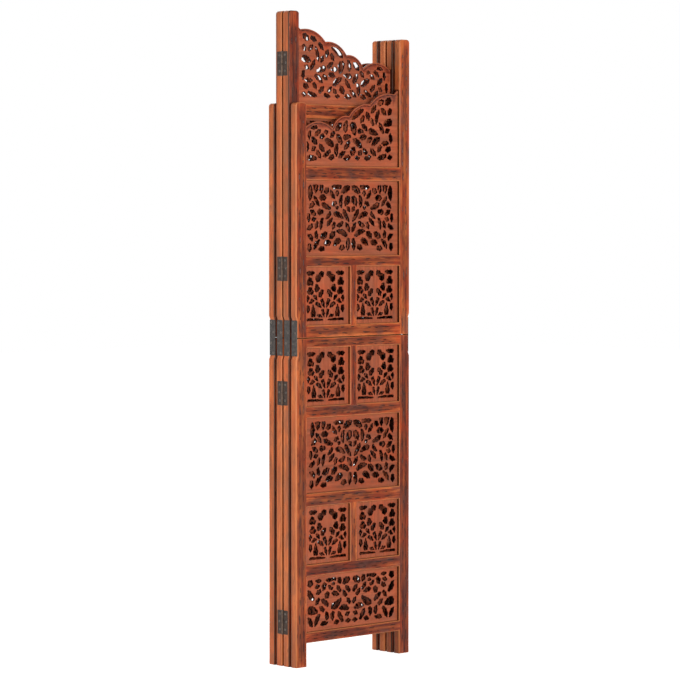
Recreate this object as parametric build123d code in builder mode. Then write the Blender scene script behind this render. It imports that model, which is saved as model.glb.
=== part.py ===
from build123d import *

import os

# Folding jali screen: four carved leaves hung zig-zag on butt hinges and shown folded shut.
# X runs across a leaf, Y from the front leaf to the back leaf, Z up from the floor.
# The origin is on the floor under the middle of the folded bundle. All sizes are millimetres.

# ---- leaves ----
leaf_count = 4
leaf_width = 400.0
leaf_thickness = 22.0
fold_gap = 5.0
stile_width = 36.0
muntin_width = 24.0

# ---- lower frame, from the floor up: rails and the windows between them ----
foot_height = 60.0
bottom_rail_height = 27.0
base_window_height = 141.0
sill_rail_height = 30.0
flower_window_height = 146.0
waist_rail_height = 34.0
tree_window_height = 190.0
chest_rail_height = 30.0
lower_head_rail_height = 26.0

# ---- upper frame, from the seam up ----
seam_rail_height = 32.0
middle_rail_height = 28.0
crest_rail_height = 36.0
frieze_window_height = 120.0

# ---- stile tops above the seam ----
short_stile_height = 590.0
hinged_stile_height = 761.0
tall_stile_height = 820.0
stile_top_radius = 9.0

# ---- carved boards ----
board_thickness = 6.0
board_margin = 11.0
groove_depth = 6.0
groove_end_clearance = 0.5

# ---- scalloped crest, heights above its rail, from the short side to the tall side ----
crest_short_end_height = 94.0
crest_tall_end_height = 198.0
crest_scallop_ends = (0.295, 0.475, 0.70, 0.965)
crest_scallop_crowns = (112.0, 126.0, 157.0, 187.0)
crest_scallop_cusps = (96.0, 128.0, 159.0, 187.0)
crest_crown_share = 0.55

# ---- butt hinges; their small rounds are drawn with a few flats ----
hinge_height = 61.0
hinge_plate_width = 17.0
hinge_plate_thickness = 1.5
hinge_axis_offset = 1.0
knuckle_radius = 2.4
knuckle_gap = 0.3
hinge_pin_radius = 1.2
hinge_pin_clearance = 0.05
hinge_flat_count = 8
low_hinge_centre = 112.0
below_seam_to_hinge = 139.0
above_seam_to_hinge = 174.0
stile_top_to_hinge = 73.0

# ---- iron plates that join the lower and upper stiles ----
joining_plate_height = 90.0
joining_plate_width = 20.0
joining_plate_thickness = 2.0
joining_recess_depth = 3.0
joining_recess_ramp = 10.0

# ---- places worked out from the sizes above ----
leaf_pitch = leaf_thickness + fold_gap
edge_x = leaf_width / 2
window_x = edge_x - stile_width
seam_height = (
    foot_height
    + bottom_rail_height
    + base_window_height
    + sill_rail_height
    + flower_window_height
    + waist_rail_height
    + tree_window_height
    + chest_rail_height
    + flower_window_height
    + lower_head_rail_height
)
hinge_heights = (
    low_hinge_centre,
    seam_height - below_seam_to_hinge,
    seam_height + above_seam_to_hinge,
    seam_height + hinged_stile_height - stile_top_to_hinge,
)

# ---- fretwork ----
# Each opening is a list of corners, as shares of the carved field: across from the middle (0)
# to the edge (1) on a mirrored board, and up from its bottom (0) to its top (1).
flower_openings = (
    ((0.10, 0.98), (0.32, 0.99), (0.57, 0.83), (0.38, 0.76)),
    ((0.66, 0.66), (0.98, 0.52), (0.98, 0.82)),
    ((0.64, 0.33), (0.77, 0.12), (0.63, 0.03), (0.48, 0.12)),
)
tree_openings = (
    ((0.05, 0.0), (0.12, 0.02), (0.09, 0.19), (0.03, 0.17)),
    ((0.06, 0.36), (0.26, 0.24), (0.48, 0.27), (0.26, 0.33)),
    ((0.07, 0.44), (0.24, 0.60), (0.16, 0.64)),
    ((0.22, 0.50), (0.62, 0.53), (0.38, 0.62)),
    ((0.06, 0.72), (0.24, 0.70), (0.12, 0.98)),
    ((0.33, 0.68), (0.66, 0.70), (0.50, 0.86)),
    ((0.56, 0.04), (0.88, 0.10), (0.72, 0.34)),
    ((0.78, 0.46), (0.98, 0.36), (0.98, 0.92)),
)
wide_openings = (
    ((0.10, 0.02), (0.34, 0.06), (0.26, 0.34)),
    ((0.10, 0.40), (0.42, 0.42), (0.28, 0.56)),
    ((0.05, 0.70), (0.28, 0.68), (0.14, 0.98)),
    ((0.40, 0.66), (0.68, 0.74), (0.52, 0.96)),
    ((0.48, 0.06), (0.76, 0.06), (0.62, 0.40)),
    ((0.80, 0.30), (1.0, 0.14), (0.98, 0.92)),
)
# The crest is not mirrored: across runs from its short side (0) to its tall side (1), and up
# is a share of the board's height at that place.
crest_openings = (
    ((0.02, 0.06), (0.14, 0.04), (0.06, 0.40)),
    ((0.07, 0.58), (0.19, 0.52), (0.12, 0.84)),
    ((0.20, 0.08), (0.34, 0.06), (0.29, 0.36)),
    ((0.26, 0.50), (0.44, 0.44), (0.42, 0.80)),
    ((0.40, 0.10), (0.54, 0.08), (0.44, 0.36)),
    ((0.52, 0.44), (0.64, 0.38), (0.54, 0.70)),
    ((0.62, 0.52), (0.90, 0.40), (0.68, 0.62)),
    ((0.66, 0.08), (0.82, 0.06), (0.76, 0.30)),
    ((0.88, 0.06), (1.0, 0.06), (0.98, 0.36)),
    ((0.84, 0.58), (1.0, 0.62), (0.96, 0.90)),
)


def leaf_middle(leaf):
    """Y of a leaf's middle plane in the folded bundle."""
    return (leaf - (leaf_count + 1) / 2) * leaf_pitch


def hinge_side(front):
    """Edge, right (+1) or left (-1), that hinges a leaf to the one behind it: they alternate."""
    return 1 if front % 2 == 1 else -1


def tall_side(leaf):
    """Side with the taller stile: the one nearer the middle of the opened screen."""
    front = leaf if leaf <= leaf_count / 2 else leaf - 1
    return hinge_side(front)


def is_inner(leaf):
    """Whether a leaf stands in the middle of the opened screen, with the frieze board."""
    return 1 < leaf < leaf_count


def face_plane(leaf):
    """Upright plane in the middle of a leaf: its x is X and its y is Z."""
    return Plane(origin=(0, leaf_middle(leaf), 0), x_dir=(1, 0, 0), z_dir=(0, -1, 0))


def stack(start, heights):
    """Lower and upper heights of pieces stacked on each other from start."""
    spans = []
    level = start
    for height in heights:
        spans.append((level, level + height))
        level += height
    return spans


def lower_spans():
    """Rails and windows of a lower frame by name."""
    names = (
        "bottom_rail",
        "base",
        "sill_rail",
        "low_flower",
        "waist_rail",
        "low_tree",
        "chest_rail",
        "high_flower",
        "head_rail",
    )
    heights = (
        bottom_rail_height,
        base_window_height,
        sill_rail_height,
        flower_window_height,
        waist_rail_height,
        tree_window_height,
        chest_rail_height,
        flower_window_height,
        lower_head_rail_height,
    )
    return dict(zip(names, stack(foot_height, heights)))


def upper_spans(leaf):
    """Rails and windows of an upper frame by name; inner leaves have one more of each."""
    names = ["seam_rail", "top_flower", "middle_rail", "high_tree", "frieze_rail"]
    heights = [
        seam_rail_height,
        flower_window_height,
        middle_rail_height,
        tree_window_height,
        crest_rail_height,
    ]
    if is_inner(leaf):
        names += ["frieze", "crest_rail"]
        heights += [frieze_window_height, crest_rail_height]
    return dict(zip(names, stack(seam_height, heights)))


def stile_top(leaf, side):
    """Height of the top of an upper stile."""
    if side == tall_side(leaf):
        above_seam = tall_stile_height if is_inner(leaf) else hinged_stile_height
    else:
        above_seam = hinged_stile_height if is_inner(leaf) else short_stile_height
    return seam_height + above_seam


def write(piece, name):
    """Label a finished piece and write it to its own file."""
    piece.part.label = name
    export_step(piece.part, "parts/" + name + ".step")


def hinged_neighbours(leaf):
    """Each hinged edge of a leaf: its side, and which way (+Y or -Y) the other leaf lies."""
    edges = []
    if leaf > 1:
        edges.append((hinge_side(leaf - 1), -1))
    if leaf < leaf_count:
        edges.append((hinge_side(leaf), 1))
    return edges


def make_stile(leaf, side, low, high, seam_at_top, round_top):
    """One stile length: ploughed for the boards, let in for its hinges and joining plate."""
    middle = leaf_middle(leaf)
    centre_x = side * (edge_x - stile_width / 2)
    groove_x = side * (window_x + groove_depth / 2)
    with BuildPart() as stile:
        with BuildSketch(Plane.XY.offset(low)):
            with Locations((centre_x, middle)):
                Rectangle(stile_width, leaf_thickness)
            with Locations((groove_x, middle)):
                Rectangle(groove_depth, board_thickness, mode=Mode.SUBTRACT)
        extrude(amount=high - low)
        if round_top:
            top_edges = stile.edges().filter_by(Axis.Y).group_by(Axis.Z)[-1]
            outer_edges = ShapeList([top_edges.sort_by(Axis.X)[0], top_edges.sort_by(Axis.X)[-1]])
            fillet(outer_edges, radius=stile_top_radius)
        seam = high if seam_at_top else low
        away = -1 if seam_at_top else 1
        bottom_x = side * (edge_x - joining_recess_depth)
        flat_z = seam + away * joining_plate_height / 2
        end_z = flat_z + away * joining_recess_ramp
        with BuildSketch(face_plane(leaf)):
            Polygon(
                (bottom_x, seam),
                (side * edge_x, seam),
                (side * edge_x, end_z),
                (bottom_x, flat_z),
                align=None,
            )
        extrude(amount=leaf_thickness / 2, both=True, mode=Mode.SUBTRACT)
        for hinge_side, toward in hinged_neighbours(leaf):
            if hinge_side != side:
                continue
            pocket_y = middle + toward * (leaf_thickness - hinge_plate_width) / 2
            pocket_x = side * (edge_x - hinge_plate_thickness / 2)
            for centre in hinge_heights:
                if not low < centre < high:
                    continue
                with BuildSketch(Plane.XY.offset(centre - hinge_height / 2)):
                    with Locations((pocket_x, pocket_y)):
                        Rectangle(hinge_plate_thickness, hinge_plate_width)
                extrude(amount=hinge_height, mode=Mode.SUBTRACT)
    return stile


def make_rails(leaf, spans):
    """Cross rails of one frame, each with a tongue along both ends for the stile grooves."""
    middle = leaf_middle(leaf)
    tongue = groove_depth - groove_end_clearance
    with BuildPart() as rails:
        for name, (low, high) in spans.items():
            if "rail" not in name:
                continue
            with BuildSketch(Plane.XY.offset(low)):
                with Locations((0, middle)):
                    Rectangle(2 * window_x, leaf_thickness)
                    Rectangle(2 * (window_x + tongue), board_thickness)
            extrude(amount=high - low)
    return rails


def make_muntins(leaf, windows):
    """Upright bars between each pair of flower boards, ploughed on both sides."""
    middle = leaf_middle(leaf)
    groove_centre = (muntin_width - groove_depth) / 2
    with BuildPart() as muntins:
        for low, high in windows:
            with BuildSketch(Plane.XY.offset(low)):
                with Locations((0, middle)):
                    Rectangle(muntin_width, leaf_thickness)
                with Locations((-groove_centre, middle), (groove_centre, middle)):
                    Rectangle(groove_depth, board_thickness, mode=Mode.SUBTRACT)
            extrude(amount=high - low)
    return muntins


def board_edge():
    """How far a board's upright edges reach into the grooves on each side."""
    return groove_depth - groove_end_clearance


def make_mirrored_boards(leaf, windows, openings):
    """Boards with a mirrored pattern, one in each window given as x and z limits."""
    with BuildPart() as boards:
        for left, right, low, high in windows:
            centre = (left + right) / 2
            half_field = (right - left) / 2 - board_margin
            field_height = high - low - 2 * board_margin
            with BuildSketch(face_plane(leaf)):
                with Locations((centre, (low + high) / 2)):
                    Rectangle(right - left + 2 * board_edge(), high - low)
                for corners in openings:
                    for hand in (-1, 1):
                        points = [
                            (
                                centre + hand * across * half_field,
                                low + board_margin + up * field_height,
                            )
                            for across, up in corners
                        ]
                        Polygon(*points, align=None, mode=Mode.SUBTRACT)
            extrude(amount=board_thickness / 2, both=True)
    return boards


def scallop_outline(leaf, foot):
    """Points of each scallop arc along the crest, from the short side to the tall side."""
    side = tall_side(leaf)
    span = 2 * window_x
    starts = (0.0,) + crest_scallop_ends[:-1]
    start_heights = (crest_short_end_height,) + crest_scallop_cusps[:-1]
    arcs = []
    for index, end in enumerate(crest_scallop_ends):
        start = starts[index]
        crown = start + (end - start) * crest_crown_share
        arcs.append(
            (
                (side * (start * span - window_x), foot + start_heights[index]),
                (side * (crown * span - window_x), foot + crest_scallop_crowns[index]),
                (side * (end * span - window_x), foot + crest_scallop_cusps[index]),
            )
        )
    return arcs


def crest_height(share):
    """Rough height of the crest board above its rail at a share of the way to its tall side."""
    return crest_short_end_height + share * (crest_scallop_crowns[-1] - crest_short_end_height)


def make_crest(leaf, foot):
    """The scalloped crest board, which climbs to the tall stile."""
    side = tall_side(leaf)
    arcs = scallop_outline(leaf, foot)
    short_x = -side * (window_x + board_edge())
    tall_x = side * (window_x + board_edge())
    short_top = foot + crest_short_end_height
    tall_top = foot + crest_tall_end_height
    field = 2 * (window_x - board_margin)
    with BuildPart() as crest:
        with BuildSketch(face_plane(leaf)):
            with BuildLine():
                Polyline(
                    arcs[0][0],
                    (short_x, short_top),
                    (short_x, foot),
                    (tall_x, foot),
                    (tall_x, tall_top),
                    (side * window_x, tall_top),
                    arcs[-1][-1],
                )
                for start, crown, end in arcs:
                    ThreePointArc(start, crown, end)
            make_face()
            for corners in crest_openings:
                points = [
                    (
                        side * (across * field - field / 2),
                        foot + board_margin + up * (crest_height(across) - 2 * board_margin),
                    )
                    for across, up in corners
                ]
                Polygon(*points, align=None, mode=Mode.SUBTRACT)
        extrude(amount=board_thickness / 2, both=True)
    return crest


def make_joining_plates(leaf):
    """Iron plates across the seam, one on each outer edge."""
    centre_x = edge_x - joining_recess_depth + joining_plate_thickness / 2
    with BuildPart() as plates:
        with BuildSketch(Plane.XY.offset(seam_height - joining_plate_height / 2)):
            with Locations((-centre_x, leaf_middle(leaf)), (centre_x, leaf_middle(leaf))):
                Rectangle(joining_plate_thickness, joining_plate_width)
        extrude(amount=joining_plate_height)
    return plates


def make_hinge_leaves(leaf):
    """Hinge plates let into a leaf's edges, each with its knuckle bored for the pin."""
    middle = leaf_middle(leaf)
    knuckle_length = (hinge_height - knuckle_gap) / 2
    bore_radius = hinge_pin_radius + hinge_pin_clearance
    with BuildPart() as plates:
        for side, toward in hinged_neighbours(leaf):
            face_y = middle + toward * leaf_thickness / 2
            axis_y = middle + toward * leaf_pitch / 2
            axis_x = side * (edge_x + hinge_axis_offset)
            plate_x = side * (edge_x - hinge_plate_thickness / 2)
            for centre in hinge_heights:
                low = centre - hinge_height / 2
                knuckle_low = low if toward > 0 else low + knuckle_length + knuckle_gap
                with BuildSketch(Plane.XY.offset(low)):
                    with Locations((plate_x, face_y - toward * hinge_plate_width / 2)):
                        Rectangle(hinge_plate_thickness, hinge_plate_width)
                extrude(amount=hinge_height)
                with BuildSketch(Plane.XY.offset(knuckle_low)):
                    with Locations((axis_x, axis_y)):
                        RegularPolygon(knuckle_radius, hinge_flat_count)
                    with Locations((plate_x, (face_y + axis_y) / 2)):
                        Rectangle(hinge_plate_thickness, fold_gap / 2)
                    with Locations((axis_x, axis_y)):
                        RegularPolygon(bore_radius, hinge_flat_count, major_radius=False, mode=Mode.SUBTRACT)
                extrude(amount=knuckle_length)
    return plates


def make_hinge_pins(front):
    """Pins through both knuckles of every hinge between a leaf and the one behind it."""
    axis_x = hinge_side(front) * (edge_x + hinge_axis_offset)
    axis_y = leaf_middle(front) + leaf_pitch / 2
    with BuildPart() as pins:
        for centre in hinge_heights:
            with BuildSketch(Plane.XY.offset(centre - hinge_height / 2)):
                with Locations((axis_x, axis_y)):
                    RegularPolygon(hinge_pin_radius, hinge_flat_count)
            extrude(amount=hinge_height)
    return pins


def flower_windows(spans):
    """Pairs of windows beside each muntin, as x and z limits."""
    windows = []
    for low, high in spans:
        windows.append((-window_x, -muntin_width / 2, low, high))
        windows.append((muntin_width / 2, window_x, low, high))
    return windows


os.makedirs("parts", exist_ok=True)

for leaf in range(1, leaf_count + 1):
    prefix = "leaf_" + str(leaf) + "_"
    lower = lower_spans()
    upper = upper_spans(leaf)
    flowers = (lower["low_flower"], lower["high_flower"], upper["top_flower"])
    full_width = (-window_x, window_x)
    for side, side_name in ((-1, "left"), (1, "right")):
        lower_stile = make_stile(leaf, side, 0.0, seam_height, True, False)
        write(lower_stile, prefix + "lower_" + side_name + "_stile")
        upper_stile = make_stile(leaf, side, seam_height, stile_top(leaf, side), False, True)
        write(upper_stile, prefix + "upper_" + side_name + "_stile")
    write(make_rails(leaf, lower), prefix + "lower_rails")
    write(make_rails(leaf, upper), prefix + "upper_rails")
    write(make_muntins(leaf, flowers), prefix + "muntins")
    flower_boards = make_mirrored_boards(leaf, flower_windows(flowers), flower_openings)
    write(flower_boards, prefix + "flower_jali")
    trees = [full_width + lower["low_tree"], full_width + upper["high_tree"]]
    write(make_mirrored_boards(leaf, trees, tree_openings), prefix + "tree_jali")
    base = [full_width + lower["base"]]
    write(make_mirrored_boards(leaf, base, wide_openings), prefix + "base_jali")
    if is_inner(leaf):
        frieze = [full_width + upper["frieze"]]
        write(make_mirrored_boards(leaf, frieze, wide_openings), prefix + "frieze_jali")
    crest_foot = max(high for low, high in upper.values())
    write(make_crest(leaf, crest_foot), prefix + "crest_jali")
    write(make_joining_plates(leaf), prefix + "joining_plates")
    write(make_hinge_leaves(leaf), prefix + "hinge_leaves")

for leaf in range(1, leaf_count):
    write(make_hinge_pins(leaf), "leaf_" + str(leaf) + "_hinge_pins")
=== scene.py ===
"""Folding jali screen: four carved leaves of stained mango wood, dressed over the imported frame.

Sizes are in millimetres until a mesh is written, when they become metres. Each leaf is drawn
face on, with x across it and z up from the floor, and is then set back to its own depth.
"""

import logging
import math
from dataclasses import dataclass, field, replace
from enum import Enum
from functools import lru_cache

import bpy
import numpy as np
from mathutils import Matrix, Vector
from mathutils.geometry import delaunay_2d_cdt


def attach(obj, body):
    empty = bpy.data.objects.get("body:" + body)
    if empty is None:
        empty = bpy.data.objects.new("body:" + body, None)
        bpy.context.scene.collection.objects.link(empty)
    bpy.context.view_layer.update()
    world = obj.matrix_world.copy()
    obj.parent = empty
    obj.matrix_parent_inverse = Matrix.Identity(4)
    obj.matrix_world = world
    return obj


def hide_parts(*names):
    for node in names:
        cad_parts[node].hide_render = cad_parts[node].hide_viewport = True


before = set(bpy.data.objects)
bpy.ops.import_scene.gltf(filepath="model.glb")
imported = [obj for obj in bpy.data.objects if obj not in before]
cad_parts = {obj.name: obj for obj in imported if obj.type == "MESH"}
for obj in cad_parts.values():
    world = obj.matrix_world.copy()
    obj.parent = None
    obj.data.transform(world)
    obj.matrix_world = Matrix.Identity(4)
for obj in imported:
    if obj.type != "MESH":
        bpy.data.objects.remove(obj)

log = logging.getLogger("jali_screen")

MM = 0.001


# ---------------------------------------------------------------------------
# Named options
# ---------------------------------------------------------------------------


class Side(Enum):
    """Edge of a leaf, as the sign of its x."""

    LEFT = -1
    RIGHT = 1


class Grain(Enum):
    """Direction of the wood's fibres, as the index of its axis."""

    CROSSWISE = 0
    UPRIGHT = 2


# ---------------------------------------------------------------------------
# Surfaces
# ---------------------------------------------------------------------------


@dataclass
class Surface:
    """Arrays of a closed surface, in millimetres.

    Attributes:
        points: Places of the vertices, (n, 3).
        triangles: Vertex numbers of the three-sided faces, (t, 3).
        quads: Vertex numbers of the four-sided faces, (q, 4).
        stain: How much dark stain lies on each vertex, 0 to 1. In the reveals beside the
            windows, round and in the piercings, on the crest's edge and in the gaps between leaves
            it is painted shade.
        wear: How far each vertex is rubbed back to lighter wood or brighter iron, 0 to 1. Down
            the hinge knuckles it is a painted highlight.
        border: Whether a vertex lies where a flat face meets an arris or a gouge.
    """

    points: np.ndarray
    triangles: np.ndarray
    quads: np.ndarray
    stain: np.ndarray
    wear: np.ndarray
    border: np.ndarray

    def moved(self, x: float, y: float, z: float, quarter_turns: int = 0) -> "Surface":
        """Turn the surface about the z axis by quarter turns, then carry it to a place.

        Args:
            x: Distance across.
            y: Distance back.
            z: Distance up.
            quarter_turns: Number of quarter turns, positive from x towards y.

        Returns:
            The moved copy.
        """
        angle = quarter_turns * math.pi / 2
        turn = np.array(
            [
                [math.cos(angle), -math.sin(angle), 0.0],
                [math.sin(angle), math.cos(angle), 0.0],
                [0.0, 0.0, 1.0],
            ]
        )
        return replace(self, points=self.points @ turn.T + np.array([x, y, z]))

    def mirrored(self) -> "Surface":
        """Reflect the surface left to right, with its faces still outward."""
        return replace(
            self,
            points=self.points * np.array([-1.0, 1.0, 1.0]),
            triangles=self.triangles[:, ::-1],
            quads=self.quads[:, ::-1],
        )

    @staticmethod
    def joined(parts: list["Surface"]) -> "Surface":
        """Join several surfaces in one set of arrays.

        Args:
            parts: The surfaces.

        Returns:
            One surface, with the parts' points in order.
        """
        starts = np.cumsum([0] + [len(part.points) for part in parts[:-1]])
        return Surface(
            points=np.concatenate([part.points for part in parts]),
            triangles=np.concatenate([part.triangles + start for part, start in zip(parts, starts)]),
            quads=np.concatenate([part.quads + start for part, start in zip(parts, starts)]),
            stain=np.concatenate([part.stain for part in parts]),
            wear=np.concatenate([part.wear for part in parts]),
            border=np.concatenate([part.border for part in parts]),
        )


TINY = 1e-9
MITRE_LIMIT = 1.6
SHARPEST = 0.2


def unit(vectors: np.ndarray) -> np.ndarray:
    """Scale vectors to a length of one."""
    return vectors / np.maximum(np.linalg.norm(vectors, axis=-1, keepdims=True), TINY)


def into_wood(loops: np.ndarray) -> np.ndarray:
    """Direction from each point of closed loops into the wood, long enough for a mitre.

    The wood lies to the left of a loop's travel. At each point the left normals of the two
    edges are added and divided by one plus their dot product, which keeps an offset parallel
    to both edges; at a very sharp tip the result is held to the mitre limit.

    Args:
        loops: Closed loops, (..., n, 2).

    Returns:
        Vectors of the same shape.
    """
    ahead = unit(np.roll(loops, -1, axis=-2) - loops)
    behind = np.roll(ahead, 1, axis=-2)
    left_ahead = np.stack([-ahead[..., 1], ahead[..., 0]], axis=-1)
    left_behind = np.stack([-behind[..., 1], behind[..., 0]], axis=-1)
    share = 1.0 + np.sum(left_ahead * left_behind, axis=-1, keepdims=True)
    mitre = (left_ahead + left_behind) / np.maximum(share, SHARPEST)
    length = np.linalg.norm(mitre, axis=-1, keepdims=True)
    return mitre * np.minimum(1.0, MITRE_LIMIT / np.maximum(length, TINY))


def signed_area(loops: np.ndarray) -> np.ndarray:
    """Area inside closed loops, positive when they run anticlockwise."""
    following = np.roll(loops, -1, axis=-2)
    return 0.5 * np.sum(loops[..., 0] * following[..., 1] - following[..., 0] * loops[..., 1], axis=-1)


def within(points: np.ndarray, starts: np.ndarray, ends: np.ndarray) -> np.ndarray:
    """Whether points lie in the wood: a ray to the right crosses an odd number of edges.

    Args:
        points: Points to test, (p, 2).
        starts: Starts of all edges, (e, 2).
        ends: Ends of all edges, (e, 2).

    Returns:
        One truth value for each point.
    """
    x, z = points[:, None, 0], points[:, None, 1]
    rise = ends[None, :, 1] - starts[None, :, 1]
    straddles = (starts[None, :, 1] > z) != (ends[None, :, 1] > z)
    share = (z - starts[None, :, 1]) / np.where(rise == 0.0, 1.0, rise)
    crossing = starts[None, :, 0] + share * (ends[None, :, 0] - starts[None, :, 0])
    return np.sum(straddles & (x < crossing), axis=1) % 2 == 1


# ---------------------------------------------------------------------------
# Knife cuts: the leaf-shaped outline that every piercing and gouge has
# ---------------------------------------------------------------------------


@dataclass(frozen=True)
class Cut:
    """A leaf-shaped cut between two tips.

    Attributes:
        x0: First tip across.
        z0: First tip up.
        x1: Second tip across.
        z1: Second tip up.
        width: Greatest width.
        arch: How far the middle bows to the left of the way from the first tip to the second.
        belly: Share of the way at which the cut is widest.
        point: How pointed the tips are: 1 gives an ellipse, 2 a lens, below 1 a slot.
    """

    x0: float
    z0: float
    x1: float
    z1: float
    width: float
    arch: float = 0.0
    belly: float = 0.5
    point: float = 1.25

    def mirrored(self) -> "Cut":
        """Reflect the cut left to right."""
        return replace(self, x0=-self.x0, x1=-self.x1, arch=-self.arch)

    def shifted(self, x: float, z: float, tall: float = 1.0) -> "Cut":
        """Stretch the cut upward, then move it."""
        low, high = self.z0 * tall + z, self.z1 * tall + z
        return replace(self, x0=self.x0 + x, x1=self.x1 + x, z0=low, z1=high)


def spine_points(cuts: list[Cut], shares: np.ndarray) -> tuple[np.ndarray, np.ndarray]:
    """Points along the middle lines of cuts.

    The middle line runs straight from tip to tip, plus a bow to the left of 4 s (1 - s) times
    the arch, where s is the share of the way.

    Args:
        cuts: The cuts.
        shares: Shares of the way, (n,).

    Returns:
        The points, (cuts, n, 2), and the left normals of each straight line, (cuts, 1, 2).
    """
    start = np.array([(cut.x0, cut.z0) for cut in cuts])[:, None, :]
    end = np.array([(cut.x1, cut.z1) for cut in cuts])[:, None, :]
    arch = np.array([cut.arch for cut in cuts])[:, None, None]
    along = unit(end - start)
    left = np.stack([-along[..., 1], along[..., 0]], axis=-1)
    s = shares[None, :, None]
    return start + s * (end - start) + 4.0 * s * (1.0 - s) * arch * left, left


def cut_outlines(cuts: list[Cut], count: int) -> np.ndarray:
    """Closed outlines of cuts, out along one side and back along the other.

    The angle t goes once round, and the share of the way is (1 - cos t) / 2, so points crowd
    at the tips. The half width is half the greatest width times (s / b) to the power k b
    times ((1 - s) / (1 - b)) to the power k (1 - b), with b the belly and k the point.

    Args:
        cuts: The cuts.
        count: Points in each outline, an even number.

    Returns:
        Clockwise outlines, (cuts, count, 2), so that the wood is on their left.
    """
    turn = np.arange(count) * 2.0 * math.pi / count
    shares = np.clip((1.0 - np.cos(turn)) / 2.0, 0.0, 1.0)
    middle, left = spine_points(cuts, shares)
    sizes = np.array([(cut.belly, cut.point, cut.width) for cut in cuts])
    belly, point, width = sizes.T[:, :, None]
    rise = (shares / belly) ** (point * belly)
    fall = ((1.0 - shares) / (1.0 - belly)) ** (point * (1.0 - belly))
    half = 0.5 * width * rise * fall * np.sign(np.sin(turn) + TINY)
    loops = middle + half[..., None] * left
    turned = signed_area(loops) > 0.0
    loops[turned] = loops[turned][:, ::-1]
    return loops


@dataclass(frozen=True)
class Foil:
    """A piercing of round lobes that spring from one middle.

    Attributes:
        x: Middle across.
        z: Middle up.
        lobes: Direction in degrees, reach and width of each lobe, three at most.
        core: Least distance of the outline from the middle.
    """

    x: float
    z: float
    lobes: tuple[tuple[float, float, float], ...]
    core: float = 3.0

    def mirrored(self) -> "Foil":
        """Reflect the piercing left to right."""
        return replace(self, x=-self.x, lobes=tuple((180.0 - a, r, w) for a, r, w in self.lobes))

    def shifted(self, x: float, z: float, tall: float = 1.0) -> "Foil":
        """Move the piercing, from a place that is stretched upward."""
        return replace(self, x=self.x + x, z=self.z * tall + z)


MOST_LOBES = 3
NO_LOBE = (0.0, 0.1, 0.1)


def foil_outlines(foils: list[Foil], count: int) -> np.ndarray:
    """Closed outlines of foils.

    A lobe is an ellipse that starts at the middle. With half reach a, half width b and an angle
    t from its direction, its far side is at 2 a b b cos t / (b b cos t cos t + a a sin t sin t).
    The outline takes the greatest of its lobes, and the core where none is beyond it.

    Args:
        foils: The foils.
        count: Points in each outline.

    Returns:
        Clockwise outlines, (foils, count, 2).
    """
    turn = -np.arange(count) * 2.0 * math.pi / count
    reach = np.tile(np.array([foil.core for foil in foils])[:, None], (1, count))
    for index in range(MOST_LOBES):
        lobes = [foil.lobes[index] if index < len(foil.lobes) else NO_LOBE for foil in foils]
        angle, a, b = (np.array(lobes) * np.array([math.pi / 180.0, 0.5, 0.5])).T[:, :, None]
        cosine = np.maximum(np.cos(turn - angle), 0.0)
        sine = np.sin(turn - angle)
        far = 2.0 * a * b * b * cosine / (b * b * cosine**2 + a * a * sine**2)
        reach = np.maximum(reach, far)
    middle = np.array([(foil.x, foil.z) for foil in foils])[:, None, :]
    return middle + reach[..., None] * np.stack([np.cos(turn), np.sin(turn)], axis=-1)


def pierced_outlines(piercings: list[Cut | Foil], count: int) -> np.ndarray:
    """Outlines of cuts, and then of foils.

    Args:
        piercings: Cuts and foils in any order.
        count: Points in each outline, an even number.

    Returns:
        Clockwise outlines, (piercings, count, 2).
    """
    cuts = [each for each in piercings if isinstance(each, Cut)]
    foils = [each for each in piercings if isinstance(each, Foil)]
    loops = [cut_outlines(cuts, count)]
    if foils:
        loops.append(foil_outlines(foils, count))
    return np.concatenate(loops)


def nearest_other(loops: np.ndarray, fence: np.ndarray) -> np.ndarray:
    """Distance from each point of the loops to the nearest other loop or to the fence.

    Args:
        loops: Closed loops, (k, n, 2).
        fence: Further points to keep clear of, (m, 2).

    Returns:
        Distances, (k, n).
    """
    count, size = loops.shape[:2]
    flat = loops.reshape(-1, 2)
    owner = np.repeat(np.arange(count), size)
    gap = np.linalg.norm(flat[:, None] - flat[None, :], axis=-1)
    gap[owner[:, None] == owner[None, :]] = np.inf
    to_fence = np.linalg.norm(flat[:, None] - fence[None, :], axis=-1).min(axis=1)
    return np.minimum(gap.min(axis=1), to_fence).reshape(count, size)


def evenly(loop: np.ndarray, step: float) -> np.ndarray:
    """Points at an even step round a closed loop.

    Args:
        loop: The loop, (n, 2).
        step: Distance between two points, about.

    Returns:
        The points, four at least.
    """
    closed = np.concatenate([loop, loop[:1]])
    way = np.concatenate([[0.0], np.cumsum(np.linalg.norm(np.diff(closed, axis=0), axis=1))])
    places = np.linspace(0.0, way[-1], max(4, int(way[-1] / step)), endpoint=False)
    return np.column_stack([np.interp(places, way, closed[:, axis]) for axis in (0, 1)])


FENCE_STEP = 1.5
ROUNDS = 12
MOST_IN, MOST_OUT = -0.6, 0.35
EVENING = 0.06


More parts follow.
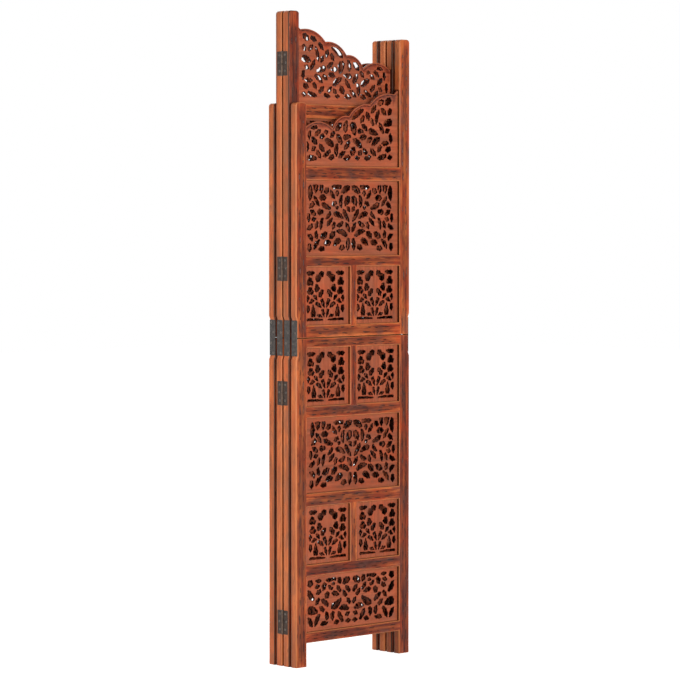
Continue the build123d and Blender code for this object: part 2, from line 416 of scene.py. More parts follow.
def fretted(loops: np.ndarray, verge: np.ndarray, strand: float, swell: float) -> np.ndarray:
    """Open cuts out until strands of an even width are left between them.

    Each point moves out by half of what its nearest neighbour leaves over the strand, and by
    the swell at most, or in by half of what is lacking. The neighbour is another cut or a line
    one strand outside the verge. It is done in rounds of small moves, and after each round a
    point goes a little towards the two beside it.

    Args:
        loops: Closed clockwise outlines, (k, n, 2).
        verge: Anticlockwise loop that no cut crosses.
        strand: Width of the strands.
        swell: Most that a point moves out.

    Returns:
        The opened outlines.
    """
    fence = evenly(verge, FENCE_STEP)
    fence = fence - unit(into_wood(fence)) * strand
    grown = np.zeros(loops.shape[:2])
    for _ in range(ROUNDS):
        step = np.clip(0.5 * (nearest_other(loops, fence) - strand), MOST_IN, MOST_OUT)
        step = np.minimum(step, swell - grown)
        grown = grown + step
        loops = loops + unit(into_wood(loops)) * step[..., None]
        beside = np.roll(loops, 1, axis=1) + np.roll(loops, -1, axis=1)
        loops = (1.0 - 2.0 * EVENING) * loops + EVENING * beside
    return loops


LEAST_NICKS = 3.0
NICK_PART = 0.55


def scalloped(loops: np.ndarray, pitch: float, depth: float) -> np.ndarray:
    """Give piercings the lobed edges that carved leaves leave: wood bulges between sharp nicks.

    A point at the share s of its loop's length moves into the wood by the depth times
    k - abs(sin(n pi s)), where k is the nicks' part of the depth and n is the length over the
    pitch, rounded, three at least.

    Args:
        loops: Closed clockwise outlines, (k, n, 2).
        pitch: Usual distance between two nicks.
        depth: How far a nick is beyond a bulge.

    Returns:
        The lobed outlines.
    """
    steps = np.linalg.norm(np.roll(loops, -1, axis=1) - loops, axis=-1)
    length = steps.sum(axis=1, keepdims=True)
    share = (np.cumsum(steps, axis=1) - steps) / length
    nicks = np.maximum(LEAST_NICKS, np.round(length / pitch))
    shift = depth * (NICK_PART - np.abs(np.sin(nicks * math.pi * share)))
    return loops + unit(into_wood(loops)) * shift[..., None]


# ---------------------------------------------------------------------------
# Sheets: anything sawn to an outline, pierced right through and gouged on its faces
# ---------------------------------------------------------------------------

GOUGE_POINTS = 10
GOUGE_SHARES = (0.16, 0.38, 0.62, 0.84)
SAME_POINT = 1e-6  # points so near each other become one


@dataclass
class Sheet:
    """A flat piece sawn to an outline, with eased arrises.

    Attributes:
        outline: Closed outline, (m, 2).
        thickness: From face to face.
        arris: Radius of the eased edges along the outline, for all or for each of its points.
        edge_shade_and_joint: Painted shade on the sawn edges of the outline, and the dark of the seam's
            joint, for all or for each of its points.
        gap_shades: Painted shade on the arrises of the outline, in front and behind, where
            another leaf lies close.
        easing: Points of a rounded arris, as shares of its radius out from and below the face.
        piercings: Cuts that go right through.
        gouges: Cuts that only mark the two faces.
        gouge_depth: Depth of a gouge at its middle.
        gouge_rim_stain: Stain round a gouge, whose middle is wholly stained.
        rim: Radius of the eased edges round the piercings.
        rim_share: Most of the wood to the next edge that an eased edge takes.
        rim_shade: Painted shade on the eased edges round the piercings.
        pierced_wear: How rubbed the faces are along the piercings.
        rim_wear: How rubbed the faces are along the outline.
        arris_wear: How rubbed the outline's arrises are, and how much less the piercings' are.
        wall_wear: How rubbed an unstained sawn edge is.
        strand: Width of wood left between two piercings.
        swell: Most that a piercing opens out towards its neighbours.
        lobe_pitch: Distance between the nicks of a piercing's edge.
        lobe_depth: How far a nick goes beyond the bulges beside it.
        verge: Anticlockwise loop that no piercing crosses.
        rim_points: Points round each piercing.
    """

    outline: np.ndarray
    thickness: float
    arris: float | np.ndarray = 1.0
    edge_shade_and_joint: float | np.ndarray = 0.0
    gap_shades: tuple[float, float] = (0.0, 0.0)
    easing: tuple[tuple[float, float], ...] = ((0.3, 0.3), (0.0, 1.0))
    piercings: list[Cut | Foil] = field(default_factory=list)
    gouges: list[Cut] = field(default_factory=list)
    gouge_depth: float = 1.1
    gouge_rim_stain: float = 0.45
    rim: float = 1.5
    rim_share: float = 0.36
    rim_shade: float = 0.3
    pierced_wear: float = 0.6
    rim_wear: float = 0.15
    arris_wear: tuple[float, float] = (0.9, 0.5)
    wall_wear: float = 0.58
    strand: float = 4.2
    swell: float = 2.5
    lobe_pitch: float = 11.0
    lobe_depth: float = 2.0
    verge: np.ndarray | None = None
    rim_points: int = 28

    def edge_rings(self) -> tuple[np.ndarray, ...]:
        """Every closed edge of the sheet, one after the other.

        Returns:
            The edge points, their directions into the wood, the radius of the easing, whether
            each belongs to a piercing, the painted shade on its wall (whole in a piercing) with the
            dark of the seam's joint, and the number of the point that follows it.
        """
        turn = 1 if signed_area(self.outline) > 0.0 else -1
        outline = self.outline[::turn]
        count = len(outline)
        # the outline's edge darkness: painted shade beside the windows and on the crest, and the dark of the
        # seam's joint
        arris, stain = (np.broadcast_to(x, count)[::turn] for x in (self.arris, self.edge_shade_and_joint))
        following = np.roll(np.arange(count), -1)
        rings = [(outline, into_wood(outline), arris, np.zeros(count), stain, following)]
        if self.piercings:
            loops = pierced_outlines(self.piercings, self.rim_points)
            loops = fretted(loops, self.verge, self.strand, self.swell)
            loops = scalloped(loops, self.lobe_pitch, self.lobe_depth)
            radius = np.minimum(self.rim, self.rim_share * nearest_other(loops, outline)).reshape(-1)
            numbers = count + np.arange(radius.size).reshape(loops.shape[:2])
            points, inward = loops.reshape(-1, 2), into_wood(loops).reshape(-1, 2)
            ones = np.ones(radius.size)
            # the walls of the piercings are wholly darkened: painted shade inside the holes
            rings.append((points, inward, radius, ones, ones, np.roll(numbers, -1, axis=1).reshape(-1)))
        return tuple(np.concatenate(part) for part in zip(*rings))

    def gouge_points(self) -> tuple[np.ndarray, np.ndarray, np.ndarray, np.ndarray]:
        """Outlines and middle lines of the gouges.

        The depth along the middle line is the full depth times the root of 4 s (1 - s), where
        s is the share of the way.

        Returns:
            The points, their depths, their stain, and the lines that join them as pairs.
        """
        if not self.gouges:
            none = np.zeros(0)
            return np.zeros((0, 2)), none, none, np.zeros((0, 2), int)
        shares = np.array(GOUGE_SHARES)
        loops = cut_outlines(self.gouges, GOUGE_POINTS)
        middle, _ = spine_points(self.gouges, shares)
        numbers = np.arange(loops[..., 0].size).reshape(loops.shape[:2])
        inner = numbers.size + np.arange(middle[..., 0].size).reshape(middle.shape[:2])
        lines = [np.stack([numbers, np.roll(numbers, -1, axis=1)], axis=-1).reshape(-1, 2)]
        lines.append(np.stack([inner[:, :-1], inner[:, 1:]], axis=-1).reshape(-1, 2))
        depth = self.gouge_depth * np.sqrt(4.0 * shares * (1.0 - shares))
        points = np.concatenate([loops.reshape(-1, 2), middle.reshape(-1, 2)])
        depths = np.concatenate([np.zeros(numbers.size), np.tile(depth, len(self.gouges))])
        stain = np.concatenate([np.full(numbers.size, self.gouge_rim_stain), np.ones(inner.size)])
        return points, depths, stain, np.concatenate(lines)

    def face(self, flat: np.ndarray, loops: np.ndarray, lines: np.ndarray) -> tuple[np.ndarray, np.ndarray]:
        """Triangulate a face, and leave out what lies outside the wood.

        Args:
            flat: Points of the face, (p, 2).
            loops: Pairs of points that are the edges of the wood, (e, 2).
            lines: Pairs of points inside it that are joined too.

        Returns:
            The points, with those added where lines cross, and the triangles.
        """
        joins = np.concatenate([loops, lines]).tolist()
        places, _, faces, origins, _, _ = delaunay_2d_cdt(flat.tolist(), joins, [], 0, SAME_POINT, True)
        extra = [index for index, origin in enumerate(origins) if not origin]
        number = {index: len(flat) + place for place, index in enumerate(extra)}
        numbers = np.array([o[0] if o else number[i] for i, o in enumerate(origins)])
        flat = np.concatenate([flat, np.array([places[i][:] for i in extra]).reshape(-1, 2)])
        triangles = numbers[np.array(faces, int)]
        centres = flat[triangles].mean(axis=1)
        return flat, triangles[within(centres, flat[loops[:, 0]], flat[loops[:, 1]])]

    def surface(self) -> Surface:
        """Work out the closed surface.

        Each face is a triangulation of its eased edges and gouges, with the triangles inside
        a piercing left out. Each edge is a profile carried round its loop: the rings of a
        rounded arris in front, as many behind, and the straight wall between them.

        Returns:
            The surface, with the sheet's middle plane at y = 0.
        """
        edge, inward, radius, pierced, wall_shade_and_joint, following = self.edge_rings()
        gouge, depths, gouge_stain, lines = self.gouge_points()
        rings, count, half = len(edge), len(self.easing), self.thickness / 2.0
        first = np.arange(rings)
        flat = np.concatenate([edge + inward * radius[:, None], gouge])
        flat, triangles = self.face(flat, np.stack([first, following], axis=-1), lines + rings)
        total = len(flat)
        level, added = np.zeros(rings), np.zeros(total - rings - len(gouge))

        drop = np.concatenate([level, depths, added])
        front = np.column_stack([flat[:, 0], drop - half, flat[:, 1]])
        rounded = []
        for out, down in self.easing:
            ring = edge + inward * (radius * out)[:, None]
            rounded.append(np.column_stack([ring[:, 0], radius * down - half, ring[:, 1]]))
        back, *behind = [part * np.array([1.0, -1.0, 1.0]) for part in (front, *rounded[::-1])]
        bands = [first, *[2 * total + step * rings + first for step in range(2 * count)], total + first]
        quads = [
            np.stack([near, far, far[following], near[following]], axis=-1)
            for near, far in zip(bands[:-1], bands[1:])
        ]

        sawn = 1.0 - pierced
        plain = np.concatenate([level, gouge_stain, added])
        worn = self.rim_wear * sawn + self.pierced_wear * pierced
        worn = np.concatenate([worn, np.zeros(total - rings)])
        stains = []
        # painted shade on the rims of the piercings, on the arrises beside the gaps between leaves and down
        # the walls beside the windows
        for gap_shade in self.gap_shades:
            steps = np.linspace(0.0, 1.0, count)[:-1, None]
            arris = self.rim_shade * pierced + np.maximum(gap_shade * sawn, steps * wall_shade_and_joint * sawn)
            stains.append([*arris, wall_shade_and_joint])
        ring_wear = [self.arris_wear[0] - self.arris_wear[1] * pierced] * (count - 1)
        ring_wear += [self.wall_wear * sawn * (wall_shade_and_joint == 0.0)]
        border = np.concatenate([level + 1.0, depths == 0.0, added])
        return Surface(
            points=np.concatenate([front, back, *rounded, *behind]),
            triangles=np.concatenate([triangles, triangles[:, ::-1] + total]),
            quads=np.concatenate(quads),
            stain=np.concatenate([plain, plain, *stains[0], *stains[1][::-1]]),
            wear=np.concatenate([worn, worn, *ring_wear, *ring_wear[::-1]]),
            border=np.concatenate([border, border, np.zeros(2 * count * rings)]) > 0.5,
        )


def rectangle(x0: float, x1: float, z0: float, z1: float) -> np.ndarray:
    """Anticlockwise corners of a rectangle."""
    return np.array([(x0, z0), (x1, z0), (x1, z1), (x0, z1)])


def circle(radius: float, count: int) -> np.ndarray:
    """Anticlockwise points of a circle about the origin."""
    turn = np.arange(count) * 2.0 * math.pi / count
    return radius * np.column_stack([np.cos(turn), np.sin(turn)])


def arc(centre: tuple[float, float], radius: float, start: float, end: float, count: int) -> np.ndarray:
    """Points of an arc between two angles in degrees."""
    turn = np.radians(np.linspace(start, end, count))
    return np.array(centre) + radius * np.column_stack([np.cos(turn), np.sin(turn)])


def arc_through(first: np.ndarray, middle: np.ndarray, last: np.ndarray, count: int) -> np.ndarray:
    """Points of the circular arc through three points.

    The centre is where the upright bisectors of the two chords meet, and the angle runs evenly
    from the first point to the last on the side of the middle one.

    Args:
        first: First point.
        middle: A point on the way.
        last: Last point.
        count: Number of points, ends included.

    Returns:
        The points, (count, 2).
    """
    chords = 2.0 * np.array([middle - first, last - first])
    sides = np.array([middle @ middle - first @ first, last @ last - first @ first])
    centre = np.linalg.solve(chords, sides)
    angles = [math.atan2(*(point - centre)[::-1]) for point in (first, middle, last)]
    angles = np.unwrap(angles)
    turn = np.linspace(angles[0], angles[2], count)
    return centre + np.linalg.norm(first - centre) * np.column_stack([np.cos(turn), np.sin(turn)])


def turned_piece(profile: list[tuple[float, float]], count: int, wear: list[float]) -> Surface:
    """A closed piece turned about the z axis.

    Each point of the profile, a radius and a height, is carried round a circle; a radius of
    zero closes an end with a small fan.

    Args:
        profile: Radii and heights, from the lower end up the outside.
        count: Points round.
        wear: How rubbed each line of the profile is; on a hinge knuckle, a painted highlight.

    Returns:
        The surface; the profile's last line joins its first.
    """
    rings = [np.column_stack([circle(r, count), np.full(count, height)]) for r, height in profile]
    first, last = np.arange(count), len(profile)
    following = np.roll(first, -1)
    quads = []
    for step in range(last):
        near, far = step * count, (step + 1) % last * count
        quads.append(np.stack([near + first, near + following, far + following, far + first], axis=-1))
    total = count * last
    return Surface(
        points=np.concatenate(rings),
        triangles=np.zeros((0, 3), int),
        quads=np.concatenate(quads),
        stain=np.zeros(total),
        wear=np.repeat(np.array(wear), count),
        border=np.zeros(total, bool),
    )


# ---------------------------------------------------------------------------
# Carved patterns, in millimetres from the middle of a window's sill
# ---------------------------------------------------------------------------

# Each row is a cut: its tips x0, z0, x1 and z1, its width, arch, belly and point, as in Cut. What
# a row leaves out stays as Cut has it. Only right halves are here, but for the crest.

# A tulip on a fan of blades, for a window 152 wide and 146 high. The foils' rows are as in Foil.
FLOWER_CUTS = (
    (4, 45, 13, 65, 7, 0, 0.72), (4.5, 21, 10, 39, 5, 0, 0.6), (16.5, 45, 34, 55, 6, 1.5),
    (63, 131, 39, 132, 9, 0, 0.35, 0.8), (30, 64, 41, 74, 6, 1), (61, 60, 61, 75, 6.5, 1),
    (40, 61.5, 55, 55.5, 6, 2.5), (60.5, 33, 60.5, 48.5, 7.5, 1),
    (42.5, 50, 42, 20, 13, 0, 0.78, 1.9), (13, 20, 27, 24, 5.5, 0, 0.45),
    (9, 12, 65, 12, 7, 0, 0.5, 0.45),
)
FLOWER_FOILS = (
    (19, 123, ((137, 17, 14), (-40, 17, 18))), (29, 92, ((80, 10, 9), (200, 9, 9), (-50, 9, 9))),
    (15, 79, ((130, 11, 9), (-55, 10, 10), (20, 8, 7))),
    (54, 108, ((90, 12, 10), (200, 12, 10), (-25, 10, 10)), 4.0),
    (52.5, 84, ((88, 12, 10), (195, 12, 10), (-20, 10, 10)), 4.0),
)

# A tree with arching branches and a bud on top, for a window 328 wide and 190 high.
TREE_CUTS = (
    (143, 141, 141, 177, 13, 2, 0.6), (123, 161, 122, 180, 18, 0, 0.75, 1.1),
    (103, 159, 103, 178, 13, 0, 0.75), (93, 162, 75, 166, 10.5, -1), (72, 166, 57, 146, 7, 1.5),
    (65, 174, 32, 174, 7.5, 0, 0.5, 0.6), (47.5, 153, 47.5, 165, 7),
    (32, 161, 3, 174, 13, -1.5, 0.45), (33, 123, 31, 153, 8, -4), (19, 127, 6, 149, 15, -1, 0.6),
    (128, 149, 111, 127, 7.5, 0, 0.4), (109, 146, 88, 145, 12.5, -2),
    (143, 121, 128, 135, 9, 0, 0.6), (100, 132, 70, 119, 9.5, 1.5, 0.3), (64, 129, 50, 134, 9),
    (53, 125, 45, 120, 5.5), (140, 115, 123, 102, 8.5, 0, 0.45),
    (115, 110, 96, 112, 10.5, 0, 0.28), (86, 95, 72, 111, 7, 3), (59, 107, 27, 95, 9.5, -3, 0.32),
    (26, 116, 6, 87, 8.5, 1.5, 0.32), (13, 124, 4, 113, 6.5), (146.5, 87, 146.5, 106, 7),
    (135, 91, 123, 94, 7.5), (123, 71, 117, 87, 8, 1.5), (105, 68, 98, 95, 7.5, -2.5),
    (82, 77, 65, 94, 8, -1.5), (63, 69, 57, 84, 7), (48, 76, 28, 86, 7.5, 3),
    (17, 82, 5, 61, 7.5, -1), (151, 68, 134, 79, 7.5, 2), (149, 52, 134, 39, 8, -3),
    (116, 42, 121, 62, 7.5, -2.5), (105, 47, 84, 58, 12, 1.5), (73, 45, 56, 59, 12, -1),
    (50, 62, 14, 50, 10, -4, 0.62), (93, 31, 71, 33, 11, -1), (60, 27, 37, 40, 11.5, -2, 0.6),
    (128, 18, 110, 42, 8, -1.5), (144, 13, 144, 30, 10, 0, 0.45), (111, 17, 93, 18.5, 8.5),
    (39, 18, 23, 22, 10, -1), (11, 15, 9, 44, 9.5),
)

# A flowering vine over rosettes, for a window 328 wide.
VINE_HEIGHT = 141.0
VINE_CUTS = (
    (152, 118, 137, 124, 14, -1, 0.5, 1.0), (124, 127, 108, 126, 7), (126, 110, 113, 113, 8),
    (122, 95, 107, 102, 9), (101, 102, 91, 118, 11.5, -1),
    (88, 125.5, 53, 125.5, 6.5, 0, 0.5, 0.6), (80, 110, 66, 103, 8.5), (70, 112, 60, 119, 8),
    (48, 127, 35, 115, 11, 0, 0.4), (31, 114, 6, 124, 14, -1, 0.45),
    (153, 104, 132, 79, 12, 1.5, 0.45), (91, 81, 81, 94, 12), (68, 91, 45, 86, 8.5, -1.5, 0.4),
    (50, 108, 38, 93, 8, 1, 0.4), (20, 106, 5, 91, 8.5, 1), (29, 94, 18, 80, 8.5),
    (125, 68, 113, 81, 7.5), (105, 77, 82, 60, 9.5, -2, 0.45), (70, 53, 36, 75, 15, 3, 0.3),
    (15, 73, 5, 61, 7), (152, 55, 119, 47, 19, -1, 0.28), (111, 59, 96, 48, 8),
    (42, 50, 10, 44, 11, -5), (88, 23, 90, 45, 9.5, 3.5), (66, 23, 63, 45, 9.5, -3.5),
    (128, 13, 112, 41, 9.5, -1.5), (152, 34, 138, 12, 9.5, -1), (107, 14, 84, 18, 8.5, -1),
    (46, 41, 30, 16, 10, 1.5, 0.45), (20, 32, 8, 37, 8), (60, 14, 45, 18, 8),
    (19, 16, 5, 16.5, 6.5),
)

# Branches that climb from the short side (0) to the tall side (328) of a crest.
CREST_CUTS = (
    (24, 95, 44, 97, 7, 2), (17, 69, 18, 88, 8), (37, 77, 55, 90, 8, 1), (68, 84, 80, 87, 7.5),
    (54, 71, 69, 80, 9), (24, 72, 42, 56, 11), (8, 37, 9, 60, 10, 0, 0.45),
    (71, 67, 101, 51, 13, 1.5), (91, 74, 104, 88, 8.5), (5, 20, 42, 20, 10, 0, 0.45),
    (26, 40, 37, 47, 8), (41, 39, 55, 22, 9), (52, 54, 68, 38, 9, -1), (65, 25, 89, 40, 8.5, -1.5),
    (108, 91, 127, 108, 14, 1.5, 0.55), (142, 88, 147, 116, 12, 2, 0.4),
    (176, 81, 165, 111, 19, -2, 0.6, 1.0), (112, 80, 129, 57, 12.5, 1),
    (135, 73, 161, 77, 10.5, 0, 0.3), (85, 20, 102, 26, 10), (110, 26, 113, 57, 10.5, 2),
    (119, 23, 140, 38, 9), (137, 20, 159, 25, 10), (138, 44, 156, 66, 8.5, -2),
    (170, 69, 200, 49, 12, 1.5), (162, 29, 174, 48, 14), (188, 28, 198, 40, 9.5),
    (178, 22, 192, 24, 8), (166, 121, 206, 145, 13, 4, 0.42), (184, 91, 207, 90, 9, 0, 0.3),
    (200, 108, 220, 93, 9), (197, 112, 208, 130, 9), (217, 138, 226, 120, 12),
    (234, 139, 250, 156, 9), (233, 123, 242, 107, 8), (251, 110, 262, 145, 8.5, 3),
    (258, 161, 278, 169, 10.5), (285, 162, 304, 175, 14, 0, 0.5, 1.0), (270, 149, 286, 135, 9),
    (296, 135, 304, 149, 10.5), (278, 109, 307, 117, 16, 0, 0.7, 1.0), (263, 112, 279, 87, 9, -1),
    (284, 90, 298, 96, 8.5), (225, 94, 257, 83, 12, 0, 0.3), (194, 73, 215, 77, 10.5, 1),
    (220, 64, 236, 74, 9), (237, 56, 264, 74, 12, 2), (304, 63, 301, 85, 9, -1.5),
    (272, 60, 296, 61, 9), (205, 45, 219, 31, 8.5), (232, 45, 249, 30, 9.5), (258, 40, 269, 55, 9),
    (286, 43, 303, 48, 12), (257, 22, 288, 31, 9, -1.5), (294, 24, 307, 26, 8.5),
    (211, 21, 231, 26, 9.5),
)


class Pattern(Enum):
    """Kind of rectangular board, as the first word of its node."""

    FLOWER = "flower"
    TREE = "tree"
    BASE = "base"
    FRIEZE = "frieze"

    def piercings(self) -> list[Cut | Foil]:
        """Piercings of the board.

        Returns:
            The right half and its reflection.
        """
        rows = {Pattern.FLOWER: FLOWER_CUTS, Pattern.TREE: TREE_CUTS}.get(self, VINE_CUTS)
        foils = [Foil(*row) for row in FLOWER_FOILS] if self is Pattern.FLOWER else []
        right = [Cut(*row) for row in rows] + foils
        return right + [each.mirrored() for each in right]


ROW_PITCH, MARK_PITCH = 10.0, 18.0
MARK_LENGTHS, MARK_WIDTHS, MARK_POINT = (9.0, 36.0), (2.0, 4.6), 1.5
RESTS, REST_TIMES, FIRST_REST = (4.0, 20.0), (1.0, 1.0, 2.5), 30.0
WAVER, LEAN, BOW = 1.6, 1.4, 1.2


def knife_marks(rng: np.random.Generator, length: float, breadth: float, grain: Grain) -> list[Cut]:
    """Short wavering gouges along a frame member, in rows that never touch.

    Each row is a chain of marks: a mark of 9 to 36 mm, then a rest of 4 to 50 mm.

    Args:
        rng: Source of chance.
        length: Length of the face that may be marked, along the grain.
        breadth: Breadth of the face that may be marked.
        grain: Which way the member runs.

    Returns:
        Cuts about the middle of the face.
    """
    rows = max(2, round(breadth / ROW_PITCH))
    count = int(length / MARK_PITCH) + 2
    marks: list[Cut] = []
    for row in range(rows):
        lane = (row + 0.5) / rows * breadth - breadth / 2.0
        sizes = rng.uniform(*MARK_LENGTHS, count)
        rests = rng.uniform(*RESTS, count) * rng.choice(REST_TIMES, count)
        starts = np.cumsum(sizes + rests) - sizes - rng.uniform(0.0, FIRST_REST) - length / 2.0
        across = lane + rng.uniform(-WAVER, WAVER, count)
        leans = rng.uniform(-LEAN, LEAN, count)
        widths = rng.uniform(*MARK_WIDTHS, count)
        arches = rng.uniform(-BOW, BOW, count)
        fits = (starts > -length / 2.0) & (starts + sizes < length / 2.0)
        tips = np.stack([starts, across, starts + sizes, across + leans], axis=-1)
        if grain is Grain.UPRIGHT:
            tips = tips[:, [1, 0, 3, 2]]
        for *ends, width, arch in np.column_stack([tips, widths, arches])[fits].tolist():
            marks.append(Cut(*ends, width, arch=arch, point=MARK_POINT))
    return marks


# ---------------------------------------------------------------------------
# Finishes
# ---------------------------------------------------------------------------


def linear(hex_colour: str) -> tuple[float, float, float, float]:
    """Turn an sRGB hex colour to the linear values that shaders take.

    Args:
        hex_colour: The colour, such as "#8d3a1c".

    Returns:
        Red, green, blue and an opacity of one.
    """
    parts = [int(hex_colour[i : i + 2], 16) / 255.0 for i in (1, 3, 5)]
    curved = [p / 12.92 if p <= 0.04045 else ((p + 0.055) / 1.055) ** 2.4 for p in parts]
    return (*curved, 1.0)


def add_node(tree: bpy.types.NodeTree, kind: str, settings: dict, inputs: dict) -> bpy.types.Node:
    """Add a shader node.

    Args:
        tree: Node tree to add to.
        kind: Node type name.
        settings: Properties to set on the node.
        inputs: Values or output sockets for its inputs, by name or number.

    Returns:
        The new node.
    """
    node = tree.nodes.new(kind)
    for name, value in settings.items():
        setattr(node, name, value)
    for name, value in inputs.items():
        socket = node.inputs[name]
        if isinstance(value, bpy.types.NodeSocket):
            tree.links.new(value, socket)
        else:
            socket.default_value = value
    return node


def set_ramp(node: bpy.types.Node, stops: tuple[tuple[float, str], ...]) -> bpy.types.NodeSocket:
    """Give a colour ramp its stops.

    Args:
        node: The ramp's node.
        stops: Places and colours, in order.

    Returns:
        The node's colour output.
    """
    ramp = node.color_ramp
    while len(ramp.elements) < len(stops):
        ramp.elements.new(1.0)
    for element, (place, colour) in zip(ramp.elements, stops):
        element.position = place
        element.color = linear(colour)
    return node.outputs["Color"]


def new_material(name: str) -> tuple[bpy.types.Material, bpy.types.NodeTree, bpy.types.Node]:
    """Make an empty material.

    Args:
        name: Name of the material.

    Returns:
        The material, its node tree and its output node.
    """
    material = bpy.data.materials.new(name)
    material.use_nodes = True
    tree = material.node_tree
    tree.nodes.clear()
    return material, tree, tree.nodes.new("ShaderNodeOutputMaterial")


FRAME_STOPS = ((0.32, "#5c2012"), (0.44, "#8d3a1c"), (0.54, "#b25228"), (0.68, "#cf6e38"))
BOARD_STOPS = ((0.34, "#561f13"), (0.46, "#7f3520"), (0.56, "#97432a"), (0.68, "#ad5639"))


@dataclass(frozen=True)
class StainedMango:
    """Mango wood, hand planed, gouged, stained red brown and given a satin varnish.

    To the eye: an orange wood whose brown stain lies in patches and along the fibres, almost
    black in the gouges, rubbed back to orange on every arris, with soft broken highlights. The
    stain attribute also lays painted shade, near black, in the reveals, the piercings and the
    gaps between leaves.

    Attributes:
        name: Name of the material.
        grain: Direction of the fibres.
        stops: Colours of the figure, dark to light.
        patch: Colour of the heavier patches of stain.
        patches: Share of the surface under the patches, 0 to 1.
        streak_and_shade: Colour of the streaks and gouges, and of the painted shade.
        streaks: How strong the fine streaks are, 0 to 1.
        rubbed: Colour of the worn arrises.
        warm: Colour where the stain is thin and red.
        dull: Colour where the varnish has greyed.
        tone_shift: How far a piece's own tone moves it along the colours of the figure.
        cells: Size across and along the grain in millimetres, and detail, of the figure, the
            fibres, the streaks, the patches and the tint.
        roughness: Roughness on the fibres and between them.
        reliefs: Strength, and depth in millimetres, of the fibres and of the figure.
    """

    name: str
    grain: Grain
    stops: tuple[tuple[float, str], ...]
    patch: str = "#551c0b"
    patches: float = 0.5
    streak_and_shade: str = "#1b0803"
    streaks: float = 0.8
    rubbed: str = "#cf7f4c"
    warm: str = "#b23c16"
    dull: str = "#6b4237"
    tone_shift: float = 0.24
    cells: tuple[tuple[float, float, float], ...] = (
        (7.0, 120.0, 5.0),
        (1.1, 34.0, 3.0),
        (3.4, 30.0, 3.0),
        (42.0, 130.0, 3.0),
        (30.0, 62.0, 2.0),
    )
    roughness: tuple[float, float] = (0.34, 0.62)
    reliefs: tuple[tuple[float, float], ...] = ((0.35, 0.5), (0.5, 1.2))

    def noises(self, tree: bpy.types.NodeTree) -> list[bpy.types.NodeSocket]:
        """Noises stretched along the grain: figure, fibres, streaks, patches and tint.

        Args:
            tree: Node tree to add to.

        Returns:
            An output for each, whose cells have their real size across and along the grain.
        """
        place = add_node(tree, "ShaderNodeTexCoord", {}, {}).outputs["Object"]
        outputs = []
        for across, along, detail in self.cells:
            scale = [1.0 / (across * MM)] * 3
            scale[self.grain.value] = 1.0 / (along * MM)
            mapped = add_node(tree, "ShaderNodeMapping", {}, {"Vector": place, "Scale": scale}).outputs[0]
            looks = {"Scale": 1.0, "Detail": detail, "Roughness": 0.6, "Distortion": 0.35}
            noise = add_node(tree, "ShaderNodeTexNoise", {}, {"Vector": mapped, **looks})
            outputs.append(noise.outputs["Fac"])
        return outputs

    def material(self) -> bpy.types.Material:
        """Build the material.

        The figure's colours come first. Each layer then lies over them where its pattern is
        beyond a low limit, up to its full amount at a high limit.

        Returns:
            The material.
        """
        material, tree, output = new_material(self.name)
        figure, fibres, streaks, patches, tint = self.noises(tree)
        tone, stain, wear = (
            add_node(tree, "ShaderNodeAttribute", {"attribute_name": label}, {}).outputs["Fac"]
            for label in ("tone", "stain", "wear")
        )
        shift = {0: tone, 1: self.tone_shift, 2: figure}
        shifted = add_node(tree, "ShaderNodeMath", {"operation": "MULTIPLY_ADD"}, shift).outputs[0]
        colour = set_ramp(add_node(tree, "ShaderNodeValToRGB", {}, {"Fac": shifted}), self.stops)
        layers = (
            (tint, 0.49, 0.3, 0.55, self.warm),
            (tint, 0.51, 0.7, 0.6, self.dull),
            (patches, 0.46, 0.66, self.patches, self.patch),
            (fibres, 0.52, 0.72, 0.45, self.patch),
            (streaks, 0.58, 0.68, self.streaks, self.streak_and_shade),
            (wear, 0.25, 1.0, 0.75, self.rubbed),
            # dark stain in the gouges, and painted shade in the reveals, the piercings and the gaps between
            # leaves
            (stain, 0.0, 1.0, 0.95, self.streak_and_shade),
        )
        for pattern, low, high, most, over in layers:
            limits = {"Value": pattern, "From Min": low, "From Max": high, "To Min": 0.0, "To Max": most}
            amount = add_node(tree, "ShaderNodeMapRange", {"interpolation_type": "SMOOTHSTEP"}, limits)
            inputs = {0: amount.outputs[0], 6: colour, 7: linear(over)}
            colour = add_node(tree, "ShaderNodeMix", {"data_type": "RGBA"}, inputs).outputs[2]

        spread = {"Value": fibres, "To Min": self.roughness[0], "To Max": self.roughness[1]}
        rough = add_node(tree, "ShaderNodeMapRange", {}, spread).outputs[0]
        normal: dict[str, bpy.types.NodeSocket] = {}
        for height, (strength, depth) in zip((fibres, figure), self.reliefs):
            relief = {"Height": height, "Strength": strength, "Distance": depth * MM, **normal}
            normal = {"Normal": add_node(tree, "ShaderNodeBump", {}, relief).outputs[0]}
        varnish = {"Specular IOR Level": 0.14, "Coat Weight": 0.1, "Coat Roughness": 0.2}
        surface = {"Base Color": colour, "Roughness": rough, **normal, **varnish}
        shader = add_node(tree, "ShaderNodeBsdfPrincipled", {}, surface)
        tree.links.new(shader.outputs[0], output.inputs["Surface"])
        return material


